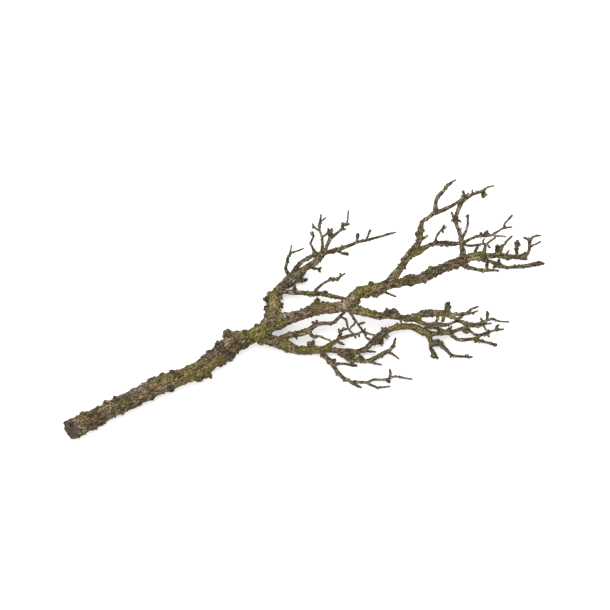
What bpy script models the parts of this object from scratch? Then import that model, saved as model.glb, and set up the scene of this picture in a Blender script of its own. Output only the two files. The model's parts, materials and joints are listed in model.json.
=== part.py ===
"""A lichen-covered twig: one old, crooked branch that forks many times, cut off at its thick end.

Every limb follows a hand-chosen centre line in millimetres: x runs along the branch towards its
tips, y across it, z up from the surface that it lies on. A limb is one object from just past the
fork where it leaves its parent; the short stub before that cut belongs to the parent.
"""
import math
from dataclasses import dataclass

import bmesh
import bpy
from mathutils import Matrix, Vector, noise

MM = 0.001
FORK_GAP = 0.3        # clear slit between a stub and the limb that grows on from it
BUTT_SLANT = 0.62     # how far the cut end leans, as run over rise
BARK_RELIEF = 0.09    # swelling and pinching of a limb, as a share of its radius
BARK_GRAIN = 0.11     # how quickly that relief changes, in cycles for each millimetre
LUMP_RELIEF = 0.3     # unevenness of a lichen lump, as a share of its radius
LUMP_GRAIN = 0.35     # how quickly that unevenness changes, in cycles for each millimetre
LARGE_LUMP = 5.4      # a lump wider than this radius is rounded more finely
RING_STEP = 1.8       # distance between rings, as a multiple of the radius
SHORTEST_STEP = 5.4   # least distance between rings
LINE_STEPS = 8        # samples of the smooth curve between two of its points
TIP_TAPER = 0.5       # radius of the last ring of a free tip, as a share of the limb's
TIP_REACH = 0.6       # how far that last ring stands beyond the line, as a share of the radius
MERGE = 0.000004      # corners closer than this become one, in metres
FACES_KEPT = 0.4      # share of the joined limb's faces that its shape needs

BARK = ("lichen_bark", (0.20, 0.165, 0.115, 1.0), 0.9)
TWIG = ("grey_twig", (0.17, 0.15, 0.11, 1.0), 0.88)


@dataclass
class Twig:
    """A side shoot: its line seen from above, and its radius and height at base and tip."""
    line: tuple
    radius: tuple
    height: tuple


@dataclass
class Limb:
    """A limb between forks: centre line points (x, y, z, radius), side shoots and bark lumps."""
    name: str
    parent: str
    cut: float                 # length of the stub that stays with the parent
    points: tuple
    twigs: tuple = ()
    knobs: tuple = ()          # (x, y, z, radius) of each lichen lump grown on this limb
    material: tuple = TWIG
    faces_kept: float = FACES_KEPT


TRUNK = Limb(
    "trunk", "", 0.0,
    ((-278, -145.5, 11.2, 11.3), (-268, -140.5, 11.5, 11.3), (-250, -131.5, 12, 10.7),
     (-230, -120.5, 12.6, 9.8), (-210, -111, 13.2, 10), (-195, -103, 13.8, 9.5),
     (-180, -94.5, 14.6, 10.5), (-170, -90.5, 15, 9.8), (-160, -87, 15.4, 10.5),
     (-150, -83.5, 16, 9.3), (-130, -76, 17, 10), (-120, -71, 17.5, 10.7),
     (-110, -63, 18, 9.8), (-100, -54, 18.6, 9.8), (-88, -45, 19.4, 11.4),
     (-80, -41, 20, 11.2), (-70, -36, 21, 9.2), (-60, -32, 22, 8.8), (-48, -27, 23.2, 9.2),
     (-40, -23, 24, 7.5)),
    twigs=(
        Twig(((-279, -139), (-286.5, -137)), (4.5, 1.2), (17, 13)),
        Twig(((-272, -149), (-276, -155)), (3.5, 0.9), (9, 5)),
    ),
    knobs=((-263, -128, 15, 5), (-236, -114, 14, 3.6), (-224, -108, 15, 4), (-182, -87, 16, 4.5),
           (-168, -81, 17, 4.5), (-155, -76, 18, 4), (-118, -61, 19, 5), (-112, -53, 19, 4.5),
           (-89, -31, 20, 6), (-70, -28, 22, 4.5), (-55, -21.5, 23, 4.4), (-250, -141, 9, 5),
           (-157, -97, 12, 4), (-125, -83, 15, 5), (-114, -80, 15, 5.5), (-87.5, -57, 15, 6),
           (-68, -43.5, 17, 4.5), (-204, -108, 21, 5.5), (-140, -78, 24, 5), (-96, -50, 27, 5),
           (-38, -41.5, 15, 4), (-49, -37.5, 18, 6), (-97, -64, 15, 7),
           (-79, -32.5, 21, 5), (-101, -44, 20, 5), (-28, -7.5, 23, 4.5), (-76, -47, 17, 5),
           (-269, -132.5, 14, 5), (-147, -78, 19, 4.5)),
    material=BARK)

LEFT_LIMB = Limb(
    "left_limb", "trunk", 25.0,
    ((-46, -24, 22, 8), (-38, -14, 20, 8.5), (-36, -4, 15, 8), (-35.5, 5, 10.4, 7.6),
     (-35, 13, 5.6, 8.6), (-32, 20, 7.8, 7.2), (-24.5, 27, 12, 5.6), (-22.5, 29.5, 13, 5)),
    twigs=(
        Twig(((-25, 25), (-18, 26.5), (-13, 29), (-7, 33), (-2, 38), (2, 42), (5, 47)),
             (2.8, 1.2), (9.5, 7)),
        Twig(((-7, 33.5), (-1, 34), (4.8, 34.5)), (2.6, 1.6), (8, 8)),
    ),
    knobs=((-44, 1.5, 14, 3.6), (-43, 11.5, 7, 4), (-26, 4.5, 13, 3.8), (-40, 18.5, 7.6, 3.6),
           (-27, 14, 12, 4.5)),
    material=BARK)

LEFT_FAN = Limb(
    "left_fan", "left_limb", 8.0,
    ((-24.5, 27, 12, 5), (-18, 34.5, 15.5, 5), (-12.5, 39.3, 18, 4.9), (-5, 43.5, 21.5, 3.9),
     (3, 49, 25, 3.6), (10, 52.5, 28, 3.9), (16, 57, 30.5, 3.7), (22, 65, 34, 3)),
    twigs=(
        Twig(((-13, 41), (-8, 49), (0, 57.5), (8, 61.5), (15, 65), (21, 66.5)), (2.8, 2), (19, 33)),
        Twig(((-15, 39.5), (-17.8, 43.5), (-20.4, 49), (-18.9, 55), (-17.4, 61), (-16, 66), (-12, 68.5),
              (-6, 69.5), (1.5, 73)), (2.3, 0.8), (18, 28)),
        Twig(((-15.3, 66.7), (-13, 76.5)), (1.2, 0.8), (24.5, 29)),
        Twig(((-18.2, 61.5), (-14.5, 63.5)), (1.2, 0.8), (22.7, 24)),
        Twig(((-19.5, 56), (-15.5, 55.5)), (1.3, 0.8), (21.5, 22)),
        Twig(((15, 65), (13, 72), (9.5, 78), (12, 84), (13.5, 88), (10, 91.5)), (1.6, 1.2), (32, 44)),
        Twig(((21.5, 64.5), (23.6, 70), (24, 77), (23.3, 86), (20.5, 95), (21, 103), (22.5, 113.5)),
             (2.1, 0.9), (33, 52)),
        Twig(((21.3, 92.5), (16, 96.5), (12, 100), (12.3, 102.5)), (1.2, 0.8), (44, 47)),
        Twig(((23.3, 86), (27, 89), (31.5, 90.5)), (1.2, 0.9), (41.5, 43)),
        Twig(((21, 104), (27.5, 109.5)), (1, 0.8), (48.5, 51)),
        Twig(((9, 51), (14, 48.8), (18.5, 48), (22.3, 49.8)), (2.2, 1), (26, 24)),
        Twig(((18, 48), (21.8, 44.8)), (1.2, 0.9), (24.7, 23)),
    ),
    knobs=((-15, 38, 20, 2.6), (16, 54, 29, 2.6), (20.5, 58.5, 30, 2.6), (24, 62, 32, 2.2),
           (11, 91, 44, 1.8), (-7, 48, 24, 2.2)))

LEFT_SPRAY = Limb(
    "left_spray", "left_fan", 13.5,
    ((20, 62, 33, 2.8), (24, 67, 37, 2.7), (27.9, 71.5, 42, 2.2), (30, 77.5, 45.5, 2), (33, 84, 48, 2),
     (38, 88.5, 49.5, 2), (43, 92.5, 51.5, 1.8), (48, 97, 54, 1.6), (48, 102, 57, 1.5),
     (53, 102, 59, 1.1), (54.5, 110, 62, 1), (55, 118.5, 65, 0.8)),
    twigs=(
        Twig(((33.5, 85.5), (31, 96)), (1.6, 1.2), (48.5, 54)),
        Twig(((34, 86), (35.3, 96)), (1.6, 1.2), (48.5, 55)),
        Twig(((44.5, 94), (52, 96)), (1.2, 0.8), (52, 53)),
        Twig(((53, 102), (57, 101.3)), (1, 0.8), (59, 59)),
    ),
    knobs=((34.5, 87, 48.5, 2.6), (48.2, 101.8, 57, 2.1)))

LEFT_RUNNER = Limb(
    "left_runner", "left_fan", 9.0,
    ((20, 61.5, 32.5, 2.8), (27.5, 67, 31.5, 2.3), (36, 69.8, 31.5, 2.5), (43, 71.5, 31, 2.5),
     (50, 74, 30.5, 2.3), (58, 77, 30, 2.1), (66, 80.5, 30, 2), (76, 82.5, 30, 1.8),
     (86, 85, 29, 1.7), (96, 87.5, 28, 1.5), (104, 90.3, 27, 1.1), (112, 92, 26, 0.8)),
    twigs=(
        Twig(((64, 79.5), (66, 84), (66, 89)), (1.2, 0.9), (30, 36)),
        Twig(((76, 82), (78.5, 88), (81, 94)), (1.1, 0.7), (30, 37)),
        Twig(((43, 70), (48, 66.5), (54.5, 65.8)), (1.7, 1.5), (31, 28)),
        Twig(((46, 73), (47.5, 77)), (1.2, 0.9), (31, 33)),
    ),
    knobs=((37, 67.5, 32, 2.4), (66.5, 89, 36, 1.9)))

CROSS_SHOOT = Limb(
    "cross_shoot", "left_limb", 12.0,
    ((-31, 19, 11, 4), (-22, 20, 13.5, 2.9), (-12, 20, 15, 2.9), (2, 19.3, 17, 2.7), (12, 18, 18.5, 3.2),
     (22, 18.5, 19.5, 2.8), (35, 15.5, 20.5, 2.5), (48, 13, 21.5, 2.3), (56, 11.5, 22, 1.8)),
    twigs=(
        Twig(((-12.6, 20.2), (-8.5, 24), (-9.5, 28.5)), (2.4, 1.4), (15.4, 18)),
        Twig(((14, 20), (17, 24), (24, 30), (30, 33.5), (36, 35.5), (43, 37), (51, 43)),
             (2, 0.8), (19, 33)),
        Twig(((43, 37), (42, 34)), (1.2, 1), (30, 29)),
        Twig(((45.5, 39), (45.3, 43)), (0.9, 0.7), (31, 33)),
        Twig(((22, 20), (26, 21.8), (30, 19)), (1.2, 1), (20, 20)),
    ),
    knobs=((33.3, 37, 27.5, 1.9), (10, 16.5, 18, 2.6), (36, 14, 20, 1.9), (-3, 21, 17, 2.2)))

CENTRAL_LIMB = Limb(
    "central_limb", "trunk", 30.0,
    ((-48, -25, 24, 8), (-36, -19, 25, 8.6), (-20, -13, 27, 7.6), (-10, -9.7, 28, 6.2), (0, -6.5, 29, 6),
     (9, -2.8, 30, 6.6), (18, 0, 31, 7.2), (28, 0.8, 32.5, 6.5), (38, 1.2, 34, 6.4), (46, 2.5, 35, 6.6),
     (55, 5.5, 37, 8), (60, 7, 38, 6.5)),
    twigs=(
        Twig(((56, 0), (60, -8.5), (64, -15), (70, -23), (75, -28), (81, -30), (88, -31.7)),
             (1.9, 1), (31, 22.5)),
        Twig(((67, -18), (75, -16)), (1.4, 1), (26, 27)),
        Twig(((62.8, -13.5), (62.3, -19), (57.5, -21.8), (55.5, -25), (59.5, -28), (62.8, -31.5)),
             (1.1, 0.8), (27.5, 21.5)),
        Twig(((74.5, -28), (76.5, -34.5), (83, -38.5)), (1.1, 0.8), (24, 19.5)),
        Twig(((74, -27), (75.3, -23.5)), (1.2, 0.9), (24, 26)),
    ),
    knobs=((13, 4.5, 31, 4.5), (17, 8, 32, 3.6), (24, 6, 33, 3), (30, 6.5, 34, 3),
           (-1, -0.5, 30, 2.6), (-15, -17, 24, 3.6), (50, 9, 38, 4), (40, 5.5, 36, 3.4),
           (62, -2, 35, 4), (66, 8.5, 38, 4.6), (63, 5, 38, 5), (7, 0, 33, 3.5)),
    material=BARK)

UPPER_LIMB = Limb(
    "upper_limb", "central_limb", 18.0,
    ((54, 5, 37.5, 7), (60, 13, 40, 6.8), (66, 18.5, 42, 6.3), (73, 21, 44.2, 6.1), (80, 23, 46.5, 6.3),
     (88, 23.5, 49, 6.4), (95, 25.5, 51, 6.3), (100, 28, 53, 5.8), (105, 31, 55, 5.8), (109, 33, 56, 4.6)),
    twigs=(Twig(((93, 22.5), (99, 20.3), (104, 18), (112, 15)), (1.7, 0.8), (49, 44)),),
    knobs=((82, 29, 47, 3.4), (68, 23.5, 43.5, 4), (74, 25.5, 45, 3.6), (96, 31, 51, 3.2),
           (87, 17.5, 48, 3.6), (76, 17, 44, 3.4), (69, 22, 44, 3.8), (100, 23.5, 52, 3)),
    material=BARK)

UPPER_LEFT_LIMB = Limb(
    "upper_left_limb", "upper_limb", 14.0,
    ((103, 29, 55, 5.4), (109, 38.5, 58, 5.2), (114, 44.5, 60.5, 4.5), (118.5, 50, 63, 4.5),
     (121.5, 55, 65.5, 3.9), (124.8, 60, 68, 4.3), (129, 65, 70.5, 4.4), (134, 69.5, 72.5, 4.8),
     (138, 72, 73.5, 3.8)),
    twigs=(Twig(((117, 51), (114.3, 54)), (1.6, 0.9), (64, 66)),),
    knobs=((121.5, 49.5, 62, 3), (119, 59, 68, 2.2), (135, 66, 70, 3.2), (126, 67.5, 71.5, 2.6),
           (140, 67.3, 71, 2.6)),
    material=BARK)

CROWN_SHOOT = Limb(
    "crown_shoot", "upper_left_limb", 13.5,
    ((131, 67, 71.5, 4), (135.5, 74, 75, 3.7), (139.5, 80, 78, 3.2), (140.7, 86, 81, 3.5),
     (140.8, 91, 83.5, 3.7), (142.5, 96, 85.5, 3.1), (142.3, 102, 88, 2.6), (145, 106.5, 89.5, 2.6),
     (150, 109, 91, 2.3), (155, 112.5, 92.5, 2.4), (158.8, 116, 94, 3), (159.5, 122, 97, 2.1),
     (160, 128, 99, 1.8), (161.7, 134, 101.5, 2.3), (166, 138.5, 103.5, 2.4), (170.5, 143.5, 105.5, 1.9),
     (174.5, 149, 107.5, 1.9), (179, 152.4, 109, 1.2), (184, 155, 110, 0.8)),
    twigs=(
        Twig(((158, 115), (163, 116.5), (170, 119.3), (179, 123.7), (186, 128), (191, 132.5),
              (194.3, 139)), (2.9, 1.3), (94, 97)),
        Twig(((142, 83), (146, 85), (150.5, 88.3)), (1.5, 0.8), (80, 84)),
        Twig(((159.7, 121), (162.7, 121)), (1.3, 0.9), (96.5, 97)),
        Twig(((162, 135), (164, 132.3)), (1.8, 1.1), (102, 101)),
        Twig(((170.5, 144.5), (173, 144)), (1.9, 1.4), (105.5, 105)),
    ),
    knobs=((136.5, 90.5, 82, 2.6), (145, 94, 85, 2.4), (137.5, 86, 80, 2.2), (166.5, 138, 103, 2.7),
           (177, 149.3, 107.5, 1.8), (193.3, 140.2, 97, 2), (149, 106.5, 90, 2)))

BRIDGE_SHOOT = Limb(
    "bridge_shoot", "upper_left_limb", 13.0,
    ((132, 67.5, 71.5, 4.4), (139, 70, 71.5, 4.6), (144, 72.3, 70.5, 3.7), (148.5, 74.7, 69, 2.5),
     (156, 78.2, 67, 2.4), (164, 78.6, 64.5, 2.7), (172, 78.8, 62.5, 2.9), (180, 78.2, 60, 2.4),
     (188, 78.8, 57.8, 2.1), (196, 81, 57.2, 1.9), (204, 85.5, 57.4, 1.7), (212, 87.8, 58, 1.8),
     (220, 88.3, 57.5, 2.3), (228, 88.7, 57, 1.6), (233, 92.5, 58, 1.3), (241, 97, 60, 1.3),
     (251, 98.4, 62, 1)),
    twigs=(
        Twig(((160, 79), (160.3, 86), (164.5, 92.5), (168, 97), (170.8, 101)), (1.6, 0.8), (66, 77)),
        Twig(((167.5, 95), (172.5, 99)), (1, 0.8), (73, 75)),
        Twig(((166.5, 95), (168.7, 92)), (1.3, 0.9), (73, 72)),
        Twig(((219, 88), (221.3, 93.7)), (2.4, 1.3), (58, 62)),
        Twig(((216, 88), (213.5, 91.3)), (2, 1.2), (58, 61)),
        Twig(((228, 88.5), (232, 87.3), (238, 87.6), (244, 87)), (1.4, 0.9), (57, 54)),
        Twig(((241, 96.5), (243, 103), (247, 107.7), (251.7, 113)), (1.3, 0.9), (60, 67)),
        Twig(((230, 90), (231.5, 86), (229, 84)), (1.3, 1.2), (57, 54)),
    ),
    knobs=((149.5, 73, 68.3, 2.2), (156.5, 76, 66, 2), (166, 76.5, 64, 2.4), (173, 76.3, 63, 2.2),
           (171.5, 81, 64, 2), (152, 78, 68, 1.9), (223.5, 90, 58, 1.9)))

UPPER_RIGHT_LIMB = Limb(
    "upper_right_limb", "upper_limb", 16.0,
    ((102, 28.4, 54.5, 5), (110, 30.1, 55, 5.2), (119, 31.9, 54.4, 4.8), (126, 33.7, 53.6, 5.2),
     (132, 34.4, 53, 5.5), (140, 35.4, 52.2, 5.1), (147, 38.7, 51.4, 5.8), (155, 43.9, 50.6, 5.9),
     (162, 46.3, 50, 5.1), (170, 49.6, 49.2, 5.5), (178, 52.9, 48.5, 6.1), (186, 55.4, 48, 6),
     (193, 58.4, 47.5, 5.8), (198, 60.4, 47, 4.7)),
    knobs=((130, 38.2, 54, 3.4), (131.5, 30.4, 52, 3.3), (144, 42.4, 52, 2.6), (149.5, 45.4, 51, 2.6),
           (154, 49.4, 51, 2.5), (156, 39.4, 50, 3.2), (147, 33.4, 50, 3.2), (170.5, 53.4, 50, 2.8),
           (176.5, 56.4, 49, 3.2), (178, 47.9, 48, 3.2), (187, 60.4, 48.5, 3.4), (185.5, 50.4, 47, 2.4),
           (165, 43.4, 49, 2.4), (194, 53.4, 47, 3.8)),
    material=BARK)

UPRIGHT_SHOOT = Limb(
    "upright_shoot", "upper_right_limb", 12.5,
    ((191, 57, 47.5, 4.6), (192.3, 64, 51, 4.2), (192, 70, 57, 3.4), (191.3, 75, 63, 3),
     (191, 80, 68, 2.9), (189.8, 86, 72, 2.4), (187.7, 93, 76, 2.3), (185.5, 100, 79.5, 2.1),
     (183.2, 107, 83, 2.6), (185, 114, 85, 2.1), (187.6, 121, 86, 2.3), (190.5, 128, 87, 2.6),
     (196, 131.6, 87.5, 1.9), (202.5, 136.5, 87.5, 1.7), (209, 139.1, 87, 1.6), (216, 141.5, 86.5, 2.2),
     (221, 145.8, 86, 1.3), (225, 147.2, 85.5, 1), (230, 147.6, 85, 0.9)),
    twigs=(
        Twig(((191, 82), (192, 86), (196, 93), (198.3, 101), (198.2, 112)), (1.9, 1.3), (69, 78)),
        Twig(((189.5, 84.8), (187.6, 83.8)), (2, 1.6), (71, 71)),
        Twig(((187.5, 93.5), (190, 96)), (1.5, 1), (76, 77)),
        Twig(((183, 106.5), (178.6, 106.2)), (1.7, 1.3), (83, 83)),
        Twig(((182.5, 108.5), (180.2, 112), (179, 116.3)), (1.3, 0.8), (83.5, 88)),
        Twig(((184, 108), (187.6, 106.6), (190.2, 104.8)), (1.6, 0.7), (83, 81)),
        Twig(((190.8, 129), (194, 134.3), (199.7, 138.8)), (1.7, 1.1), (88, 91)),
        Twig(((203.5, 137.3), (203.7, 143)), (1.2, 0.9), (87.5, 90)),
        Twig(((216.5, 141), (217, 134)), (2.2, 1.6), (86, 82)),
        Twig(((218, 139.5), (220.3, 137)), (1.5, 1), (85, 83)),
        Twig(((192.5, 78.7), (198.5, 75.9), (208, 76.7), (216, 78.4), (221, 78), (226, 82.2),
              (229.3, 84.2)), (1.6, 1.1), (67, 65)),
        Twig(((216, 78), (216.3, 81.5), (218.7, 84.2)), (1.3, 0.8), (66, 69)),
        Twig(((211.5, 77.2), (209.8, 73), (206.8, 69)), (1.2, 0.9), (66, 58)),
        Twig(((220.5, 78), (225, 73.9)), (1.1, 1.2), (66, 62)),
    ),
    knobs=((198.3, 112, 78, 1.8),))

TIP_LIMB = Limb(
    "tip_limb", "upper_right_limb", 12.0,
    ((190, 58.5, 47.5, 5), (199, 62, 46.5, 4.5), (207, 62.9, 45, 4.5), (215, 63, 43, 4.9),
     (221, 63.2, 42, 3.6), (227, 65.2, 41, 1.9), (234.5, 65, 39, 3.9), (240, 64, 37.5, 3.2),
     (248, 63.3, 35, 2.7), (257, 62, 32, 2.6), (265, 62.3, 29.5, 2.7), (270.5, 66.5, 28.5, 1.9),
     (272.3, 73.5, 31, 1.9), (273, 80, 34, 2), (274.5, 85, 36, 1.7), (279, 87.5, 37, 1.2),
     (286, 88.2, 37, 0.9)),
    twigs=(
        Twig(((221, 63), (227, 61.6), (233, 63)), (1.6, 1.5), (42.5, 40)),
        Twig(((217.5, 64), (218, 70), (219, 76.5)), (2.8, 1.2), (44, 61)),
        Twig(((234, 65), (234.3, 71), (234.3, 76)), (3.4, 2.1), (40, 47)),
        Twig(((236, 66), (238.5, 73), (239.5, 76)), (2.6, 2), (40, 47)),
        Twig(((239, 73.5), (242, 77), (246, 82.5), (251.7, 87.7)), (1.7, 0.9), (46, 52)),
        Twig(((244, 64.5), (247.8, 70.3)), (1.3, 1), (36.5, 41)),
        Twig(((240, 62), (246.7, 58.8)), (1.7, 1), (36.5, 33)),
        Twig(((257.3, 63), (257.2, 70), (256.6, 79.5)), (2.4, 1.2), (33, 46)),
        Twig(((257, 74.5), (260.8, 77), (260.6, 79.3), (258, 82.2)), (1.3, 1), (40, 46)),
        Twig(((260, 61.3), (268.8, 59.4)), (2, 1.1), (31, 27)),
        Twig(((259, 63.8), (264, 65), (268, 67.5)), (1.6, 1.5), (31, 29)),
        Twig(((272.5, 75), (279, 77.2), (285.8, 81)), (1.6, 0.9), (32, 30)),
        Twig(((272.5, 82.5), (269, 84.5), (265.6, 86)), (1.6, 1), (35, 39)),
    ),
    knobs=((212, 66.5, 45, 2.6), (205.5, 59.8, 44.5, 2.6), (211.5, 58.8, 43, 2.4),
           (218, 67, 44, 2.8), (265, 60.8, 29, 2), (272, 83.5, 36, 2), (233, 75.5, 47, 1.9)),
    material=BARK)

TIP_LOWER_SHOOT = Limb(
    "tip_lower_shoot", "tip_limb", 9.0,
    ((213, 62, 43, 3.6), (221.5, 58, 38.5, 2.4), (228, 56.3, 36.2, 2.1), (235, 52.8, 34, 3.5),
     (241, 50.8, 32.5, 2.1), (248, 49.3, 30, 2), (254.5, 51, 27.5, 2.4), (262, 51, 24.5, 2.1),
     (270, 52, 21, 2.4), (278, 53.6, 17.5, 2.8), (284, 54.8, 15, 2.5), (290, 54.6, 13, 1.5)),
    twigs=(Twig(((235, 53.5), (235.8, 59.5)), (2.8, 1.6), (34.5, 33)),
           Twig(((233.5, 52), (229, 50)), (2.4, 1.8), (34, 33))),
    knobs=((232, 55, 36, 2.2), (254.5, 52.5, 28, 1.9)))

LOW_RIGHT_SHOOT = Limb(
    "low_right_shoot", "upper_right_limb", 14.0,
    ((189, 57, 47, 4.2), (194, 53, 45.5, 3.8), (200, 49.8, 43, 2.5), (207, 48, 40, 2.1),
     (214, 46.5, 36, 2.1), (220, 46.2, 32.5, 2.1), (228, 46.8, 28, 1.8), (234.8, 45.8, 24.5, 1.1)),
    twigs=(Twig(((221, 46.5), (221.3, 52), (222.5, 57)), (2, 1.6), (32, 31)),),
    knobs=((216.6, 44.6, 34.5, 1.9),))

RIGHT_LIMB = Limb(
    "right_limb", "central_limb", 22.0,
    ((52, 4, 37, 6.5), (60, 1.5, 36.5, 6), (70, -3, 34.2, 5.1), (80, -5, 32, 4.4), (90, -8.3, 30, 4),
     (98, -8, 29, 3.4), (108, -8.4, 28, 3.7), (119, -10.2, 27.2, 3.4), (128, -11, 27, 4),
     (136, -10.6, 27.6, 4.6), (141, -10.4, 28, 3.4)),
    twigs=(Twig(((117, -12), (118.6, -15.8)), (1.7, 1), (26, 24)),
           Twig(((100, -5), (101.5, -1)), (3.4, 2), (30, 35)),
           Twig(((108, -5), (109.5, -0.8)), (3.8, 1.9), (30, 35))),
    knobs=((86.5, -3.3, 31.5, 2.6), (78, -0.5, 33.5, 2.4), (93, -10.8, 28.5, 2.4),
           (83, -9, 30, 2.2), (104, -4.5, 31, 4), (126, -13.5, 25.5, 2.4), (112, -4.5, 30, 2.6),
           (135, -7, 29, 2.6)),
    material=BARK)

RIGHT_TOP_SHOOT = Limb(
    "right_top_shoot", "right_limb", 11.0,
    ((134, -10.5, 27.6, 4.2), (140, -7.3, 28.4, 3.9), (147, -5.8, 29.5, 4.2), (155, -5.4, 31, 4.2),
     (163, -4.6, 32.4, 3.3), (172, -5.2, 33.5, 3.9), (179, -7, 33, 2.6), (188, -6.2, 32, 1.9),
     (197, -5.6, 31, 2.3), (203, -4.6, 30, 1.4), (210.5, -2.4, 28.5, 0.9)),
    twigs=(
        Twig(((173.5, -5), (173.8, 0), (174, 5.3)), (3.8, 2.8), (35, 42)),
        Twig(((175.5, 3), (176.3, 8.5)), (1.2, 0.7), (42, 44)),
        Twig(((175, 1), (178.5, 3.3)), (1.2, 0.8), (40, 41)),
        Twig(((197, -4.8), (203, 0.2), (211.3, 3)), (1.6, 0.9), (31.5, 35)),
        Twig(((203.5, -4.5), (205.5, -6.8)), (1.2, 0.9), (30, 28)),
        Twig(((170, -7), (169, -11), (168.3, -15)), (2.4, 1.6), (33, 31)),
        Twig(((162, -6.5), (162.2, -11.5), (160.5, -14.5)), (1.9, 1.5), (32, 31.5)),
        Twig(((174, -8), (180, -10.3), (184, -11.7)), (2, 1.7), (33, 34)),
        Twig(((192.5, -6.5), (190.5, -10), (186, -11.3)), (1.8, 1.9), (31.6, 34)),
    ),
    knobs=((148, -2.6, 31, 2.5), (154.7, -1.8, 32, 2), (150, -8.6, 29, 2.4), (165, -3.3, 34, 2.6),
           (168.5, -7, 32.5, 2.6), (159.5, -2.4, 33, 2.4), (183.5, -4.8, 33, 1.8),
           (176, -8.5, 32.5, 2.3)),
    material=BARK)

RIGHT_MID_SHOOT = Limb(
    "right_mid_shoot", "right_limb", 13.0,
    ((133, -11, 27, 3.8), (138.5, -13.8, 26.6, 3.2), (145, -17.3, 26, 2.6), (153, -19, 25.3, 2.4),
     (162, -18, 25.6, 3.2), (168, -19.3, 26, 2.7), (175, -18.6, 26.6, 1.8), (183, -15, 27.6, 1.8),
     (190, -14.6, 28.4, 2.1), (197, -18.6, 28.6, 3.3), (206, -19.2, 28.4, 2.8), (214, -18.7, 28, 3.2),
     (219, -14.5, 27, 2), (225, -12, 25.5, 1.8), (230, -12, 24.5, 1.6), (235, -14.8, 23.5, 1.1),
     (247.5, -15.4, 22, 0.9)),
    twigs=(
        Twig(((216, -18), (226.5, -17.3)), (1.7, 0.8), (27.5, 25)),
        Twig(((216.3, -15.5), (214.2, -10.7)), (1.5, 0.9), (27.5, 31)),
        Twig(((221.3, -12.5), (222, -3.2)), (1.5, 1.1), (26.5, 33)),
        Twig(((222, -7), (223.8, -5.5)), (1, 0.8), (30, 31)),
        Twig(((216.5, -19), (219, -22.5), (220.3, -25.5)), (1.8, 1), (27.5, 22)),
        Twig(((161, -18), (159, -15), (157, -16)), (1.8, 1.4), (26, 27)),
        Twig(((197, -18), (197, -14.6)), (2.2, 1.3), (29, 31)),
        Twig(((191, -23), (196, -21.5)), (1.8, 2.4), (26.5, 27.5)),
    ),
    knobs=((163.5, -20.3, 26, 2.5), (210.5, -21.5, 27, 2), (215.5, -15.5, 28, 2.4),
           (193, -16.5, 27.5, 1.9), (201, -20.5, 27.5, 2.4)))

LOWER_LIMB = Limb(
    "lower_limb", "trunk", 23.0,
    ((-49, -27, 22.5, 7), (-42, -36, 19.5, 6.8), (-31, -39.8, 16, 7), (-20, -43, 13, 7.4),
     (-10, -47.6, 10.2, 6), (0, -50, 8.2, 4.8), (10, -50, 7.2, 4.5), (20, -49, 6.7, 4.4),
     (28, -48.5, 6.8, 4)),
    twigs=(Twig(((7.8, -48), (7.8, -39.8)), (2.6, 1.7), (8, 13)),
           Twig(((12.9, -48), (12.9, -39.8)), (2.6, 1.7), (8, 13)),
           Twig(((24, -52), (21.5, -56.3)), (1.8, 1), (5.6, 4.6))),
    knobs=((-24, -36, 15, 4), (-15, -48, 9, 3.4), (1, -46.5, 9, 2.6), (16, -52, 6, 2.5)),
    material=BARK)

INNER_SHOOT = Limb(
    "inner_shoot", "lower_limb", 15.0,
    ((-27, -37, 15, 4.6), (-18, -32.3, 17.3, 3.9), (-8, -29.2, 19, 3.3), (2, -27.3, 20.5, 3.1),
     (9, -24, 21.5, 3), (15, -19.5, 22.5, 2.8), (24, -17.2, 23.5, 2.1), (33, -17.4, 24.3, 2),
     (39, -15.6, 25, 1.8), (44, -9.5, 26, 1.8), (50, -4, 27, 1.5)),
    twigs=(
        Twig(((7, -25.5), (10, -30), (14, -34.8), (19, -31.8), (26.5, -35.5), (33.5, -37.5)),
             (2, 1), (21, 15)),
        Twig(((15, -18.5), (11.2, -15.8)), (1.8, 1), (23, 25)),
        Twig(((16.5, -18), (17, -13.8)), (1.5, 0.9), (23, 25)),
        Twig(((42.5, -10), (50, -10.3), (53.2, -14), (53.3, -19), (55, -24.7)), (1.5, 1), (26, 22)),
        Twig(((-9, -29.5), (-7, -35.5)), (1.7, 1.1), (18.5, 16)),
    ),
    knobs=((16, -20.3, 22.5, 2.4), (-3, -29, 19.5, 2.2), (13.6, -34, 18.5, 1.8)))

LOWER_TUFT = Limb(
    "lower_tuft", "lower_limb", 17.5,
    ((22, -49, 7, 3.6), (28, -46.3, 8, 3.4), (35, -41.8, 10.5, 2.8), (41, -38.5, 13, 2.5),
     (44.5, -33, 15.5, 2.2), (45.8, -28, 17.5, 1.9), (43, -24, 19.5, 1)),
    twigs=(
        Twig(((45.8, -28), (50, -24), (54, -24.4)), (1.5, 0.9), (17.5, 16.5)),
        Twig(((42, -38.5), (46, -41.8), (51, -42.5)), (1.8, 1), (13, 12)),
        Twig(((43.5, -35), (50, -34.3), (56, -31.7), (62, -31), (67.5, -29.3), (71.5, -26.8)),
             (2.4, 1.3), (15, 20)),
        Twig(((63, -31.5), (64, -34.7)), (1.4, 0.9), (17, 16)),
        Twig(((67.5, -30), (68, -33.3)), (1.5, 1.1), (18.5, 17.5)),
        Twig(((48.5, -26), (49, -22.5)), (1.2, 0.9), (17.5, 18)),
    ),
    knobs=((59, -32, 16.5, 2.2),))

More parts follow.
